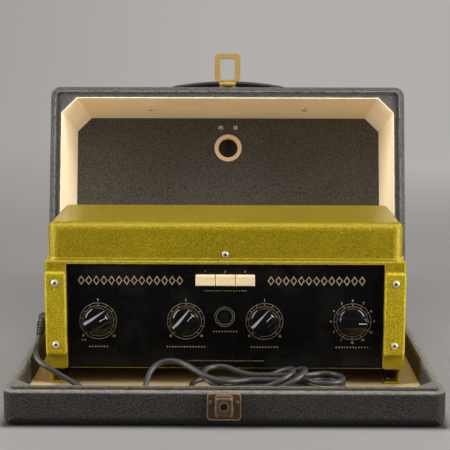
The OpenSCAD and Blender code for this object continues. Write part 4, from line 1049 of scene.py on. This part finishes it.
# studio: pale paper floor that bends up into a round wall
paperSet = {"centre": (0, 0.1), "sink": 0.0003, "flat": 2.1, "bend": 1.2, "high": 2.4,
            "paper": (0.252, 0.239, 0.230), "patch": (0.220, 0.211, 0.202), "far": (0.035, 0.034, 0.033),
            "glow": (0.428, 0.412, 0.398), "glowFrom": 0.75, "glowFull": 2.5, "lean": 0.2,
            "foot": (0.016, 0.003), "footIn": 0.004, "footDark": (0.022, 0.020, 0.019)}


# close shade along the tray's foot
def footShade(spot, look):
    low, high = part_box("tray_carcass")
    past = []
    for axis, name in enumerate("XY"):
        away = calc("ABSOLUTE", calc("SUBTRACT", spot[name], (low[axis] + high[axis]) / 2))
        out = calc("SUBTRACT", away, (high[axis] - low[axis]) / 2 - look["footIn"])
        past.append(calc("MAXIMUM", out, 0.0))
    off = calc("SQRT", calc("ADD", *[times(value, value) for value in past]))
    return calc("POWER", remap(off, *look["foot"]), 1.6)


def studioPaper(shader, place, look):
    feed(shader["Roughness"], 0.85)
    feed(shader["Specular IOR Level"], 0.15)
    feed(shader["Emission Strength"], 1.0)
    drift = useGroup(blotchGroup, place, Scale=2.0, Low=0.2, High=0.8)
    colour = mixColour(times(drift["Value"], 0.06), look["paper"], look["patch"])
    spot = axes(place)
    colour = mixColour(times(footShade(spot, look), 0.9), colour, look["footDark"])
    # painted light: the far floor and the wall glow instead of being lit, brighter to the right, while their
    # own colour goes dark there
    flat = vectors("MULTIPLY", place, (1, 1, 0))[0]
    reach = vectors("DISTANCE", flat, (*look["centre"], 0))["Value"]
    glow = remap(reach, look["glowFrom"], look["glowFull"], interpolation_type="SMOOTHSTEP")
    feed(shader["Base Color"], mixColour(glow, colour, look["far"]))
    level = times(glow, remap(spot["X"], -1, 1, 1 - look["lean"], 1 + look["lean"]))
    feed(shader["Emission Color"], mixColour(level, (0, 0, 0), look["glow"]))


def makePaper(look):
    material = newMaterial(studioPaper, "studioPaper", look)
    flat, bend = look["flat"], look["bend"]
    angles = [math.radians(deg) for deg in range(0, 91, 5)]
    arc = [(flat + bend * math.sin(a), bend * (1 - math.cos(a))) for a in angles]
    shapes = {"paperFloor": [(0, 0), (flat / 3, 0), (flat, 0)],
              "paperWall": arc + [(flat + bend, look["high"])]}
    for name, profile in shapes.items():
        bm = bmesh.new()
        lathe(bm, profile, shifted((*look["centre"], -look["sink"])), 96)
        paper = addMesh(name, bm, material, closed=False)
        paper.visible_glossy = False
        paper.visible_diffuse = name == "paperFloor"


makePaper(paperSet)

# soft boxes to both sides, above and behind
lightSet = {
    "leftBox": {"place": (-1.4, -0.5, 0.8), "aim": (0, 0.05, 0.14), "size": (0.8, 1.5), "power": 39.0},
    "rightBox": {"place": (1.4, -0.5, 0.8), "aim": (0, 0.05, 0.14), "size": (0.8, 1.5), "power": 46.0},
    "topBox": {"place": (0, -0.3, 1.7), "aim": (0, 0.05, 0.1), "size": (1.4, 0.9), "power": 8.5},
    "rearBox": {"place": (0, 1.9, 0.9), "aim": (0, 0.2, 0.15), "size": (1.6, 0.6), "power": 14.0}}
worldSet = {"Color": (0.9, 0.95, 1.0, 1), "Strength": 0.05}


def setLights(looks, world):
    for name, look in looks.items():
        data = bpy.data.lights.new(name, "AREA")
        data.shape = "RECTANGLE"
        data.size, data.size_y = look["size"]
        data.energy = look["power"]
        lamp = addObject(name, data)
        lamp.visible_camera = False
        aim = Vector(look["aim"]) - Vector(look["place"])
        lamp.matrix_world = shifted(look["place"]) @ aimed(aim, "-Z")
    if scene.world is None:
        scene.world = bpy.data.worlds.new("world")
    scene.world.use_nodes = True
    for name, value in world.items():
        scene.world.node_tree.nodes["Background"].inputs[name].default_value = value


setLights(lightSet, worldSet)
print("studio set")
